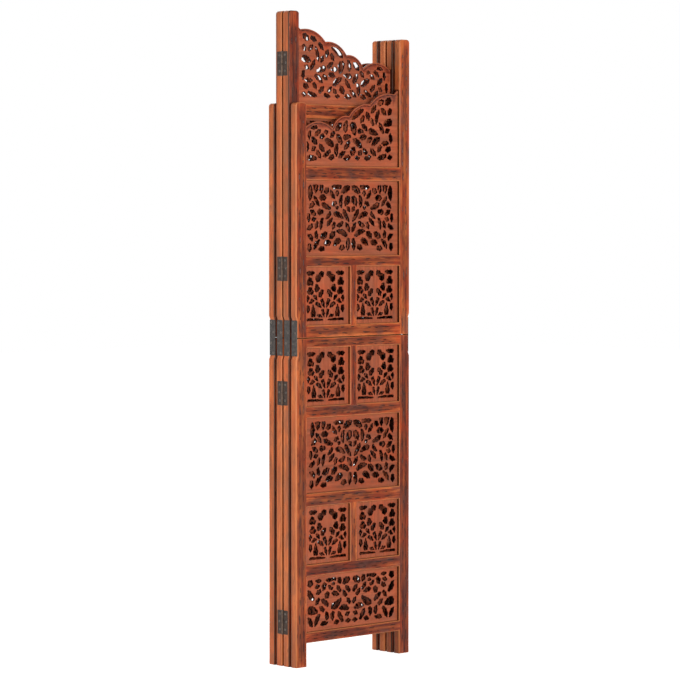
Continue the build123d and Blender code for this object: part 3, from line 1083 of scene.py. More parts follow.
@dataclass(frozen=True)
class BlackenedIron:
    """Rolled iron, blackened in oil and rubbed by handling.

    To the eye: dull charcoal with brownish mottling, a little brighter on the edges, with a
    painted highlight down the hinge knuckles.

    Attributes:
        name: Name of the material.
        dark: Colour of the oil black.
        light: Colour of the mottling.
        rubbed_and_highlight: Colour of rubbed edges, and of the painted highlight down the hinge knuckles.
        slot: Colour in the slots of screws.
        roughness: How rough the metal is.
        metallic: How much of it is bare metal.
        cells: Size in millimetres and detail of the mottling and of the pits.
        relief: Strength, and depth in millimetres, of the pits.
    """

    name: str
    dark: str = "#1d1a19"
    light: str = "#38322f"
    rubbed_and_highlight: str = "#7d746d"
    slot: str = "#120f0d"
    roughness: float = 0.6
    metallic: float = 0.5
    cells: tuple[tuple[float, float], ...] = ((7.0, 5.0), (1.3, 2.0))
    relief: tuple[float, float] = (0.3, 0.2)

    def material(self) -> bpy.types.Material:
        """Build the material.

        Returns:
            The material, brighter where it is worn and mottled and where a highlight is painted,
            and dark in the slots.
        """
        material, tree, output = new_material(self.name)
        place = add_node(tree, "ShaderNodeTexCoord", {}, {}).outputs["Object"]
        cells = [{"Vector": place, "Scale": 1.0 / (size * MM), "Detail": fine} for size, fine in self.cells]
        mottle, pits = (add_node(tree, "ShaderNodeTexNoise", {}, cell).outputs["Fac"] for cell in cells)
        wear, stain = (
            add_node(tree, "ShaderNodeAttribute", {"attribute_name": label}, {}).outputs["Fac"]
            for label in ("wear", "stain")
        )
        ramp = add_node(tree, "ShaderNodeValToRGB", {}, {"Fac": mottle})
        colour = set_ramp(ramp, ((0.35, self.dark), (0.68, self.light)))
        # wear brings rubbed edges, and on the hinge knuckles a painted highlight
        worn = add_node(tree, "ShaderNodeMath", {"operation": "MULTIPLY"}, {0: wear, 1: mottle}).outputs[0]
        for amount, over in ((worn, self.rubbed_and_highlight), (stain, self.slot)):
            inputs = {0: amount, 6: colour, 7: linear(over)}
            colour = add_node(tree, "ShaderNodeMix", {"data_type": "RGBA"}, inputs).outputs[2]
        relief = {"Height": pits, "Strength": self.relief[0], "Distance": self.relief[1] * MM}
        normal = add_node(tree, "ShaderNodeBump", {}, relief).outputs[0]
        metal = {"Metallic": self.metallic, "Roughness": self.roughness}
        shader = add_node(
            tree, "ShaderNodeBsdfPrincipled", {}, {"Base Color": colour, "Normal": normal, **metal}
        )
        tree.links.new(shader.outputs[0], output.inputs["Surface"])
        return material


@dataclass(frozen=True)
class Finishes:
    """Every finish of the screen, built once."""

    upright: bpy.types.Material
    crosswise: bpy.types.Material
    carved: bpy.types.Material
    carved_upright: bpy.types.Material
    iron: bpy.types.Material
    hinge: bpy.types.Material
    screw: bpy.types.Material

    @staticmethod
    def made() -> "Finishes":
        """Build all the materials.

        Returns:
            The finishes; the carved boards are darker and plainer than the frame.
        """
        stile = StainedMango("stained_mango_stile", Grain.UPRIGHT, FRAME_STOPS)
        board = StainedMango(
            "carved_mango_board", Grain.CROSSWISE, BOARD_STOPS, patches=0.4, streaks=0.3, rubbed="#b56541"
        )
        iron = BlackenedIron("blackened_iron_plate")
        # the hinge's rubbed colour also paints the highlight down its knuckles
        hinge = BlackenedIron("blackened_iron_hinge", dark="#1a0f09", light="#33231a", rubbed_and_highlight="#6f5a4a")
        screw = BlackenedIron("blackened_iron_screw", dark="#4a423c", light="#6f655c", roughness=0.45)
        return Finishes(
            upright=stile.material(),
            crosswise=replace(stile, name="stained_mango_rail", grain=Grain.CROSSWISE).material(),
            carved=board.material(),
            carved_upright=replace(board, name="carved_mango_flower_board", grain=Grain.UPRIGHT).material(),
            iron=iron.material(),
            hinge=hinge.material(),
            screw=screw.material(),
        )


# ---------------------------------------------------------------------------
# Sub-assemblies
# ---------------------------------------------------------------------------

FRAME_SEED, BOARD_SEED, PLATE_SEED, HINGE_SEED = 100, 200, 300, 400


@dataclass(frozen=True)
class Window:
    """An opening or a bar of the frame, as its limits across and up."""

    left: float
    right: float
    low: float
    high: float

    @property
    def middle(self) -> float:
        """Place of its middle line across."""
        return (self.left + self.right) / 2.0

    @property
    def width(self) -> float:
        """Width across."""
        return self.right - self.left

    @property
    def height(self) -> float:
        """Height up."""
        return self.high - self.low


def new_object(name: str, data: bpy.types.ID) -> bpy.types.Object:
    """Make an object and put it in the scene.

    Args:
        name: Name of the object.
        data: Mesh, lamp or camera that it shows.

    Returns:
        The object.
    """
    made = bpy.data.objects.new(name, data)
    bpy.context.scene.collection.objects.link(made)
    return made


@dataclass
class Dresser:
    """Turns surfaces to finished objects that ride on a leaf and stand for its nodes.

    Attributes:
        body: Body that the pieces ride on.
        gentle: Angle in degrees from which an edge is crisp where a flat face meets another.
        steep: Angle from which any edge is crisp.
    """

    body: str
    gentle: float = 8.0
    steep: float = 48.0

    def sharp_edges(self, mesh: bpy.types.Mesh, border: np.ndarray) -> None:
        """Keep an edge crisp where it is steep, or where a flat face meets an arris or gouge.

        Args:
            mesh: Mesh to mark.
            border: Whether each vertex lies on such a meeting.
        """
        count = len(mesh.edges)
        ends = np.empty(count * 2, np.int32)
        mesh.edges.foreach_get("vertices", ends)
        marks = []
        for angle in (self.gentle, self.steep):
            mesh.set_sharp_from_angle(angle=math.radians(angle))
            mark = np.zeros(count, bool)
            if "sharp_edge" in mesh.attributes:
                mesh.attributes["sharp_edge"].data.foreach_get("value", mark)
            marks.append(mark)
        sharp = (marks[0] & border[ends.reshape(-1, 2)].all(axis=1)) | marks[1]
        if "sharp_edge" not in mesh.attributes:
            mesh.attributes.new("sharp_edge", "BOOLEAN", "EDGE")
        mesh.attributes["sharp_edge"].data.foreach_set("value", sharp)

    def dress(
        self,
        name: str,
        parts: list[Surface],
        tones: list[float],
        finish: bpy.types.Material,
        nodes: tuple[str, ...] = (),
    ) -> None:
        """Make one finished object.

        Args:
            name: Name of the piece, after the leaf's.
            parts: Surfaces that make it up.
            tones: How light each part's wood is, -1 to 1.
            finish: Its material.
            nodes: Nodes of the leaf that it stands for.
        """
        surface = Surface.joined(parts)
        tone = np.repeat(tones, [len(part.points) for part in parts])
        mesh = bpy.data.meshes.new(f"{self.body}_{name}")
        faces = surface.triangles.tolist() + surface.quads.tolist()
        mesh.from_pydata((surface.points * MM).tolist(), [], faces)
        for label, values in (("tone", tone), ("stain", surface.stain), ("wear", surface.wear)):
            mesh.attributes.new(label, "FLOAT", "POINT").data.foreach_set("value", values)
        mesh.polygons.foreach_set("use_smooth", np.ones(len(mesh.polygons), bool))
        self.sharp_edges(mesh, surface.border)
        mesh.materials.append(finish)
        mesh.update()
        piece = new_object(mesh.name, mesh)
        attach(piece, self.body)
        if nodes:
            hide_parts(*[f"{self.body}_{node}" for node in nodes])
        log.info("%s: %d faces", piece.name, len(mesh.polygons))


@dataclass(frozen=True)
class LeafPlan:
    """Sizes of the leaves, and what follows from them for one leaf."""

    number: int
    count: int = 4
    width: float = 400.0
    thickness: float = 22.0
    pitch: float = 27.0
    stile: float = 36.0
    muntin: float = 24.0
    foot: float = 60.0
    lower_rails: tuple[float, ...] = (27.0, 30.0, 34.0, 30.0, 26.0)
    lower_windows: tuple[float, ...] = (141.0, 146.0, 190.0, 146.0)
    upper_rails: tuple[float, ...] = (32.0, 28.0, 36.0)
    upper_windows: tuple[float, ...] = (146.0, 190.0)
    frieze: float = 120.0
    crest_rail: float = 36.0
    stile_tops: tuple[float, float, float] = (590.0, 761.0, 820.0)  # short, hinged and tall
    crest_ends: tuple[float, float] = (94.0, 198.0)  # short and tall

    @property
    def middle(self) -> float:
        """Depth of the leaf's middle plane."""
        return (self.number - (self.count + 1) / 2.0) * self.pitch

    @property
    def inner(self) -> bool:
        """Whether the leaf stands in the middle of the open screen."""
        return 1 < self.number < self.count

    @property
    def tall_side(self) -> Side:
        """Side with the taller stile."""
        return Side.LEFT if self.inner else Side.RIGHT

    @property
    def reach(self) -> float:
        """Half of the clear width between the stiles."""
        return self.width / 2.0 - self.stile

    @property
    def seam(self) -> float:
        """Height of the seam between the two frames."""
        return self.foot + sum(self.lower_rails) + sum(self.lower_windows)

    def levels(self, start: float, rails: tuple[float, ...], windows: tuple[float, ...]) -> tuple[list, list]:
        """Stack rails and windows by turns, a rail first and last.

        Args:
            start: Height of the lowest rail's underside.
            rails: Heights of the rails.
            windows: Heights of the windows between them.

        Returns:
            The limits of the rails and of the windows.
        """
        heights = [height for pair in zip(rails, (*windows, 0.0)) for height in pair]
        marks = (start + np.cumsum([0.0, *heights[:-1]])).tolist()
        limits = list(zip(marks[:-1], marks[1:]))
        return limits[::2], limits[1::2]

    def lower(self) -> tuple[list, list]:
        """Rails and windows of the lower frame."""
        return self.levels(self.foot, self.lower_rails, self.lower_windows)

    def upper(self) -> tuple[list, list]:
        """Rails and windows of the upper frame.

        Returns:
            The limits of the rails and of the windows.
        """
        rails, windows = self.upper_rails, self.upper_windows
        if self.inner:
            rails, windows = (*rails, self.crest_rail), (*windows, self.frieze)
        return self.levels(self.seam, rails, windows)

    def paired_windows(self) -> list[tuple[float, float]]:
        """Limits of the windows that a muntin parts, for the flower boards."""
        lower, upper = self.lower()[1], self.upper()[1]
        return [lower[1], lower[3], upper[0]]

    def crest_foot(self) -> float:
        """Height of the crest board's foot."""
        return self.upper()[0][-1][1]

    def stile_top(self, side: Side) -> float:
        """Height of the top of a stile: short and hinged on an outer leaf, hinged and tall inside."""
        return self.seam + self.stile_tops[(side is self.tall_side) + self.inner]

    def crest_end(self, side: Side) -> float:
        """Height at which the crest meets a stile."""
        return self.crest_foot() + self.crest_ends[side is self.tall_side]

    def hinged_edges(self) -> list[tuple[Side, int]]:
        """Edges of the leaf that carry hinges.

        Returns:
            The side of each, and whether the other leaf is behind it (1) or before it (-1).
        """
        before, behind = (Side.LEFT, Side.RIGHT) if self.number % 2 else (Side.RIGHT, Side.LEFT)
        edges = [(before, -1)] if self.number > 1 else []
        return edges + ([(behind, 1)] if self.number < self.count else [])


@dataclass
class FrameMembers:
    """Stiles, rails and muntins of a leaf, gouged along the grain, with eased arrises."""

    plan: LeafPlan
    arris: float = 3.2
    outer_arris: float = 2.3
    joint_arris: float = 0.6
    joint_run: float = 0.5  # how far inside a bar's end its arris has its full radius
    seam_arris: float = 1.7
    top_radius: float = 9.0
    top_points: int = 7  # along a quarter turn
    chamfer: float = 1.5
    recess_depth: float = 4.0
    recess_height: float = 45.0
    recess_ramp: float = 10.0
    seam_gap: float = 0.9
    near_seam: float = 2.0  # an edge so near the seam belongs to it
    near_inner: float = 0.1  # a point so near the inner edge lies on it
    fade: float = 3.0  # height over which the dark line beside the windows ends
    # painted shade in the reveals beside the windows and in the gaps between leaves, and the dark of the
    # seam's joint
    shade_and_joint_stain: float = 0.9
    # painted shade on the edges of rails and muntins in the reveals, and the dark of the seam's joint
    bar_shade_and_joint: float = 0.85
    mark_ends: tuple[float, float] = (12.0, 14.0)  # plain wood at a stile's lower and upper end
    mark_sides: float = 13.0  # plain wood across a stile
    bar_plain: tuple[float, float] = (12.0, 9.0)  # plain wood along and across a bar
    tones: tuple[float, ...] = (
        *(0.25, -0.35, -0.35, -0.4, 0.05, 0.0, 0.05, -0.12),
        *(0.2, 0.18, -0.03, 0.03, 0.2, -0.2, 0.15, 0.0),
    )
    tone_step: int = 4  # how far the tones move on from leaf to leaf
    easing: tuple[tuple[float, float], ...] = ((0.5, 0.134), (0.134, 0.5), (0.0, 1.0), (0.0, 1.9))

    def stile_outline(self, side: Side, upper: bool) -> tuple[np.ndarray, np.ndarray, np.ndarray]:
        """Outline of one stile, drawn for the right edge and mirrored for the left.

        Args:
            side: Which edge of the leaf.
            upper: Whether it belongs to the upper frame.

        Returns:
            The outline, (n, 2), and the radius of the arris and the stain at each point: painted
            shade on the inner edge beside the windows, and the dark of the seam's joint.
        """
        plan, r, cut = self.plan, self.top_radius, self.chamfer
        inner, outer = plan.reach, plan.width / 2.0
        let_in = outer - self.recess_depth
        turn = 1.0 if upper else -1.0
        seam = plan.seam + turn * self.seam_gap
        seat = plan.seam + turn * self.recess_height
        shade = plan.crest_end(side) if upper else plan.foot + plan.lower_rails[0]
        beside = [(inner, shade + turn * self.fade), (inner, shade), (inner, seam)]
        let = [(let_in - cut, seam), (let_in, seam + turn * cut), (let_in, seat)]
        recess = [*let, (outer, seat + turn * self.recess_ramp)]
        if upper:
            top = plan.stile_top(side) - r
            outer_round = arc((outer - r, top), r, 0.0, 90.0, self.top_points)
            inner_round = arc((inner + r, top), r, 90.0, 180.0, self.top_points)
            outline = np.concatenate([beside, recess, outer_round, inner_round])
        else:
            feet = [(inner, cut), (inner + cut, 0.0), (outer - cut, 0.0), (outer, cut)]
            outline = np.array([*beside[::-1], *feet, *recess[::-1]])
        on_inner = outline[:, 0] < inner + self.near_inner
        at_seam = np.abs(outline[:, 1] - plan.seam) < self.near_seam
        beside_windows = turn * outline[:, 1] <= turn * shade
        arris = np.where(on_inner, self.arris, self.outer_arris)
        arris = np.where(at_seam, self.seam_arris, arris)
        # painted shade in the reveals beside the windows, and the dark joint at the seam
        dark = (on_inner & beside_windows) | at_seam
        return outline * np.array([side.value, 1.0]), arris, self.shade_and_joint_stain * dark

    def gap_shades(self) -> tuple[float, float]:
        """Painted shade on the arrises in front and behind: dark where leaves lie together at the open edge,
        in the narrow gap between them.
        """
        even = self.plan.number % 2 == 0
        # painted shade on the faces that lie close to the next leaf
        return (self.shade_and_joint_stain, 0.0) if even else (0.0, self.shade_and_joint_stain)

    def stile(self, side: Side, upper: bool, rng: np.random.Generator) -> Surface:
        """One stile with its gouges.

        Args:
            side: Which edge of the leaf.
            upper: Whether it belongs to the upper frame.
            rng: Source of chance.

        Returns:
            The surface.
        """
        plan = self.plan
        outline, arris, stain = self.stile_outline(side, upper)
        low, high = outline[:, 1].min() + self.mark_ends[0], outline[:, 1].max() - self.mark_ends[1]
        centre = side.value * (plan.width - plan.stile) / 2.0
        marks = knife_marks(rng, high - low, plan.stile - self.mark_sides, Grain.UPRIGHT)
        gouges = [mark.shifted(centre, (low + high) / 2.0) for mark in marks]
        looks = (arris, stain, self.gap_shades(), self.easing)
        return Sheet(outline, plan.thickness, *looks, gouges=gouges).surface()

    def bar(self, window: Window, grain: Grain, rng: np.random.Generator) -> Surface:
        """One rail or muntin, given by its limits.

        Its ends run on into the members that they meet, as far as those are rounded.

        Args:
            window: Limits of the part that shows.
            grain: Which way it runs.
            rng: Source of chance.

        Returns:
            The surface.
        """
        centre = (window.middle, (window.low + window.high) / 2.0)
        length, breadth = window.width, window.height
        if grain is Grain.UPRIGHT:
            length, breadth = breadth, length
        marks = knife_marks(rng, length - self.bar_plain[0], breadth - self.bar_plain[1], grain)
        near, far = length / 2.0 - self.joint_run, length / 2.0 + self.arris
        half = breadth / 2.0
        lower = [(-far, -half), (-near, -half), (near, -half), (far, -half)]
        outline = np.array(lower + [(x, half) for x, _ in lower[::-1]])
        if grain is Grain.UPRIGHT:
            outline = outline[:, ::-1]
        outline = outline + np.array(centre)
        arris = np.tile([self.joint_arris, self.arris, self.arris, self.joint_arris], 2)
        at_seam = np.abs(outline[:, 1] - self.plan.seam) < self.near_seam
        arris = np.where(at_seam, self.seam_arris, arris)
        gouges = [mark.shifted(*centre) for mark in marks]
        looks = {"easing": self.easing, "gouges": gouges}
        return Sheet(outline, self.plan.thickness, arris, self.bar_shade_and_joint, **looks).surface()

    def build(self, dresser: Dresser, finishes: Finishes) -> None:
        """Build and dress every member of the leaf.

        Args:
            dresser: Dresser of the leaf.
            finishes: Finishes of the screen.
        """
        plan, depth, gap = self.plan, self.plan.middle, self.seam_gap
        rng = np.random.default_rng(FRAME_SEED + plan.number)
        tones = np.roll(self.tones, self.tone_step * (plan.number - 1)).tolist()
        for upper, level in ((False, "lower"), (True, "upper")):
            for side in Side:
                name = f"{level}_{side.name.lower()}_stile"
                part = self.stile(side, upper, rng).moved(0.0, depth, 0.0)
                dresser.dress(f"{name}_wood", [part], [tones.pop(0)], finishes.upright, (name,))
            rails, _ = plan.upper() if upper else plan.lower()
            parts = []
            for low, high in rails:
                low += gap if low == plan.seam else 0.0
                high -= gap if high == plan.seam else 0.0
                limits = Window(-plan.reach, plan.reach, low, high)
                parts.append(self.bar(limits, Grain.CROSSWISE, rng).moved(0.0, depth, 0.0))
            rail_tones = [tones.pop(0) for _ in parts]
            name = f"{level}_rails"
            dresser.dress(f"{name}_wood", parts, rail_tones, finishes.crosswise, (name,))
        half = plan.muntin / 2.0
        parts = [
            self.bar(Window(-half, half, low, high), Grain.UPRIGHT, rng).moved(0.0, depth, 0.0)
            for low, high in plan.paired_windows()
        ]
        tones = tones[: len(parts)]
        dresser.dress("muntins_wood", parts, tones, finishes.upright, ("muntins",))


@dataclass(frozen=True)
class BoardCutter:
    """Cuts the carved boards. Boards that are alike are cut once.

    Attributes:
        thickness: Thickness of a board.
        arris: Radius of a board's edges.
        rim_wear: How rubbed a board is along its outline.
        margin: Wood between a window's edge and the pattern.
        sides: Least wood that is left at the sides of a pattern that is off its middle.
        ends: Least wood that is left below and above it.
        tongue: How far a board runs into the grooves of the stiles.
        crest_arris: Radius of the crest's edges.
        crest_edge_shade: Painted shade on the crest's sawn edge.
        crest_margin: Wood between the crest's edge and its pattern.
        crest_step: Distance between the points of the line that bounds its pattern.
        cusp_shares: Places where two scallops meet, as shares of the clear width.
        cusp_heights: Heights of those places.
        crowns: Heights of the scallops' crowns.
        crown_share: Place of a crown, as a share of its scallop.
        quirk_inset: Distance of the line beside the scallops from the edge.
        quirk_drop: How far the line dips below a cusp.
        quirk_width: Width of the line.
        quirk_depth: Depth of the line.
        quirk_gap: Gap between two strokes of the line, as a share of a stroke at each end.
        scallop_points: Points along a scallop, an odd number.
    """

    thickness: float = 6.0
    arris: float = 0.6
    rim_wear: float = 0.75
    margin: float = 10.5
    sides: float = 4.0
    ends: float = 5.0
    tongue: float = 5.5
    crest_arris: float = 1.2
    # painted shade on the crest's sawn edge
    crest_edge_shade: float = 0.35
    crest_margin: float = 8.5
    crest_step: float = 2.0
    cusp_shares: tuple[float, ...] = (0.0, 0.295, 0.475, 0.70, 0.965)
    cusp_heights: tuple[float, ...] = (94.0, 96.0, 128.0, 159.0, 187.0)
    crowns: tuple[float, ...] = (112.0, 126.0, 157.0, 187.0)
    crown_share: float = 0.55
    quirk_inset: float = 4.6
    quirk_drop: float = 6.0
    quirk_width: float = 2.0
    quirk_depth: float = 0.9
    quirk_gap: float = 0.02
    scallop_points: int = 13

    @lru_cache(maxsize=None)
    def panel(
        self, pattern: Pattern, width: float, height: float, drift: float, lift: float, swell: float
    ) -> Surface:
        """A rectangular pierced board, about the middle of its sill.

        Args:
            pattern: Its pattern.
            width: Clear width of its window.
            height: Clear height of its window.
            drift: How far the hand-set pattern sits to the right of the middle.
            lift: How far it sits above the middle.
            swell: How far its piercings are opened out.

        Returns:
            The board.
        """
        tall = height / VINE_HEIGHT if pattern is Pattern.FRIEZE else 1.0
        cuts = [cut.shifted(drift, lift, tall) for cut in pattern.piercings()]
        half = width / 2.0
        reach = half - self.margin
        verge = rectangle(
            max(drift - reach, -half + self.sides),
            min(drift + reach, half - self.sides),
            max(lift + self.margin, self.ends),
            min(lift + height - self.margin, height - self.ends),
        )
        outline = rectangle(-half - self.tongue, half + self.tongue, 0.0, height)
        fret = {"piercings": cuts, "swell": swell, "verge": verge, "rim_wear": self.rim_wear}
        return Sheet(outline, self.thickness, self.arris, **fret).surface()

    def scallops(self, reach: float) -> tuple[np.ndarray, list[Cut]]:
        """Scalloped edge of a crest, and its quirk, a thin line cut beside it.

        Each scallop is a circular arc from cusp to cusp through its crown. The quirk is drawn
        in strokes between every second point of the arc, set in square to it.

        Args:
            reach: Half of the clear width.

        Returns:
            Points of the edge from the tall side to the short side, and the strokes.
        """
        places = np.array(self.cusp_shares) * (2.0 * reach) - reach
        cusps = np.column_stack([places, self.cusp_heights])
        drop, gap = np.array([0.0, self.quirk_drop]), self.quirk_gap
        edges, quirks = [], []
        for index, (first, last, crown) in enumerate(zip(cusps[:-1], cusps[1:], self.crowns)):
            top = np.array([first[0] + self.crown_share * (last[0] - first[0]), crown])
            scallop = arc_through(first, top, last, self.scallop_points)
            edges.append(scallop[1:])
            way = np.gradient(scallop, axis=0)
            inward = unit(np.column_stack([way[:, 1], -way[:, 0]]))
            tips = (scallop + self.quirk_inset * inward)[::2]
            if index:
                tips[0] = first - drop
            if index < len(self.crowns) - 1:
                tips[-1] = last - drop
            starts = (1.0 - gap) * tips[:-1] + gap * tips[1:]
            stops = gap * tips[:-1] + (1.0 - gap) * tips[1:]
            quirks += [Cut(*start, *stop, self.quirk_width, point=0.5) for start, stop in zip(starts, stops)]
        return np.concatenate(edges)[::-1], quirks

    @lru_cache(maxsize=None)
    def crest(self, reach: float, heights: tuple[float, float], drift: float, swell: float) -> Surface:
        """A crest, about the middle of its rail, with its tall side on the right.

        Args:
            reach: Half of its clear width.
            heights: Heights of its short and its tall side.
            drift: How far the pattern sits towards the tall side.
            swell: How far its piercings are opened out.

        Returns:
            The board.
        """
        short, tall = heights
        edge, quirks = self.scallops(reach)
        corners = [(-reach, short), (-reach, 0.0), (reach, 0.0), (reach, tall)]
        seen = evenly(np.concatenate([corners, edge]), self.crest_step)
        far = reach + self.tongue
        tongues = [(-far, short), (-far, 0.0), (far, 0.0), (far, tall), (reach, tall)]
        outline = np.concatenate([tongues, edge, corners[:1]])
        fret = {
            "piercings": [Cut(*row).shifted(drift - reach, 0.0) for row in CREST_CUTS],
            "swell": swell,
            "verge": seen + unit(into_wood(seen)) * self.crest_margin,
            "rim_wear": self.rim_wear,
            "gouges": quirks,
            "gouge_depth": self.quirk_depth,
        }
        return Sheet(outline, self.thickness, self.crest_arris, self.crest_edge_shade, **fret).surface()


@dataclass
class JaliBoards:
    """The carved boards of a leaf.

    Attributes:
        plan: Sizes of the leaf.
        cutter: What cuts the boards.
        places: Drift and lift of each hand-set pattern, by kind of board and then by leaf.
        flower_drifts: Drifts of the six flower boards, the same on every leaf.
        crest_drifts: Drifts of the crest patterns, by leaf.
        swells: How far the piercings of each leaf are opened out.
        crest_swells: The same for the crests.
        tones: How light the wood of each leaf's boards is; those of the two inner leaves are darkened as
            painted shade, as they are seen only through the piercings in front.
        tone_spread: How far a board's tone differs from that, at the most.
        crest_tones_and_shade: How light the wood of the crests is; the third leaf's is darkened as painted
            shade, as it is seen only through the crests in front.
    """

    plan: LeafPlan
    cutter: BoardCutter = BoardCutter()
    places: dict[Pattern, tuple] = field(
        default_factory=lambda: {
            Pattern.TREE: (
                ((3.5, 0.0), (-3.0, 0.0)),
                ((-6.0, -4.0), (-6.0, 4.0)),
                ((4.0, 0.0), (4.0, -4.0)),
                ((0.0, -4.0), (-6.0, 0.0)),
            ),
            Pattern.BASE: (((-0.5, 0.0),), ((6.0, -4.0),), ((6.0, 4.0),), ((-6.0, 4.0),)),
            Pattern.FRIEZE: ((), ((6.0, 4.0),), ((-2.0, 0.0),), ()),
        }
    )
    flower_drifts: tuple[float, ...] = (4.0, 4.5, -2.0, -1.5, -4.0, -5.5)
    crest_drifts: tuple[float, ...] = (0.0, 4.0, -6.0, 2.0)
    swells: tuple[float, ...] = (2.5, 2.2, 0.8, 2.2)
    crest_swells: tuple[float, ...] = (2.5, 1.6, 0.4, 2.2)
    # the second and third leaves' boards are darkened: painted shade inside the folded screen
    tones: tuple[float, ...] = (0.1, -0.6, -0.8, 0.0)
    tone_spread: float = 0.4
    # the third leaf's crest is darkened: painted shade behind the crests in front
    crest_tones_and_shade: tuple[float, ...] = (0.3, 0.2, -0.5, 0.1)

    def windows(self) -> dict[Pattern, list[Window]]:
        """Windows of the leaf.

        Returns:
            The windows by the pattern of the board in them.
        """
        plan = self.plan
        lower, upper = plan.lower()[1], plan.upper()[1]
        half, reach = plan.muntin / 2.0, plan.reach
        sides = ((-reach, -half), (half, reach))
        found = {
            Pattern.FLOWER: [Window(*side, *limits) for limits in plan.paired_windows() for side in sides],
            Pattern.TREE: [Window(-reach, reach, *limits) for limits in (lower[2], upper[1])],
            Pattern.BASE: [Window(-reach, reach, *lower[0])],
        }
        if plan.inner:
            found[Pattern.FRIEZE] = [Window(-reach, reach, *upper[2])]
        return found

    def build(self, dresser: Dresser, finishes: Finishes) -> None:
        """Build and dress the boards.

        Args:
            dresser: Dresser of the leaf.
            finishes: Finishes of the screen.
        """
        plan, depth, leaf = self.plan, self.plan.middle, self.plan.number - 1
        rng = np.random.default_rng(BOARD_SEED + plan.number)
        for pattern, windows in self.windows().items():
            if pattern is Pattern.FLOWER:
                finish, places = finishes.carved_upright, [(drift, 0.0) for drift in self.flower_drifts]
            else:
                finish, places = finishes.carved, self.places[pattern][leaf]
            parts = []
            for window, place in zip(windows, places):
                board = self.cutter.panel(pattern, window.width, window.height, *place, self.swells[leaf])
                parts.append(board.moved(window.middle, depth, window.low))
            spread = rng.uniform(-self.tone_spread, self.tone_spread, len(parts))
            tones = (self.tones[leaf] + spread).tolist()
            node = f"{pattern.value}_jali"
            dresser.dress(f"{node}_carving", parts, tones, finish, (node,))
        drift, swell = self.crest_drifts[leaf], self.crest_swells[leaf]
        crest = self.cutter.crest(plan.reach, plan.crest_ends, drift, swell)
        crest = crest if plan.tall_side is Side.RIGHT else crest.mirrored()
        crest = crest.moved(0.0, depth, plan.crest_foot())
        tones = [self.crest_tones_and_shade[leaf]]
        dresser.dress("crest_jali_carving", [crest], tones, finishes.carved, ("crest_jali",))


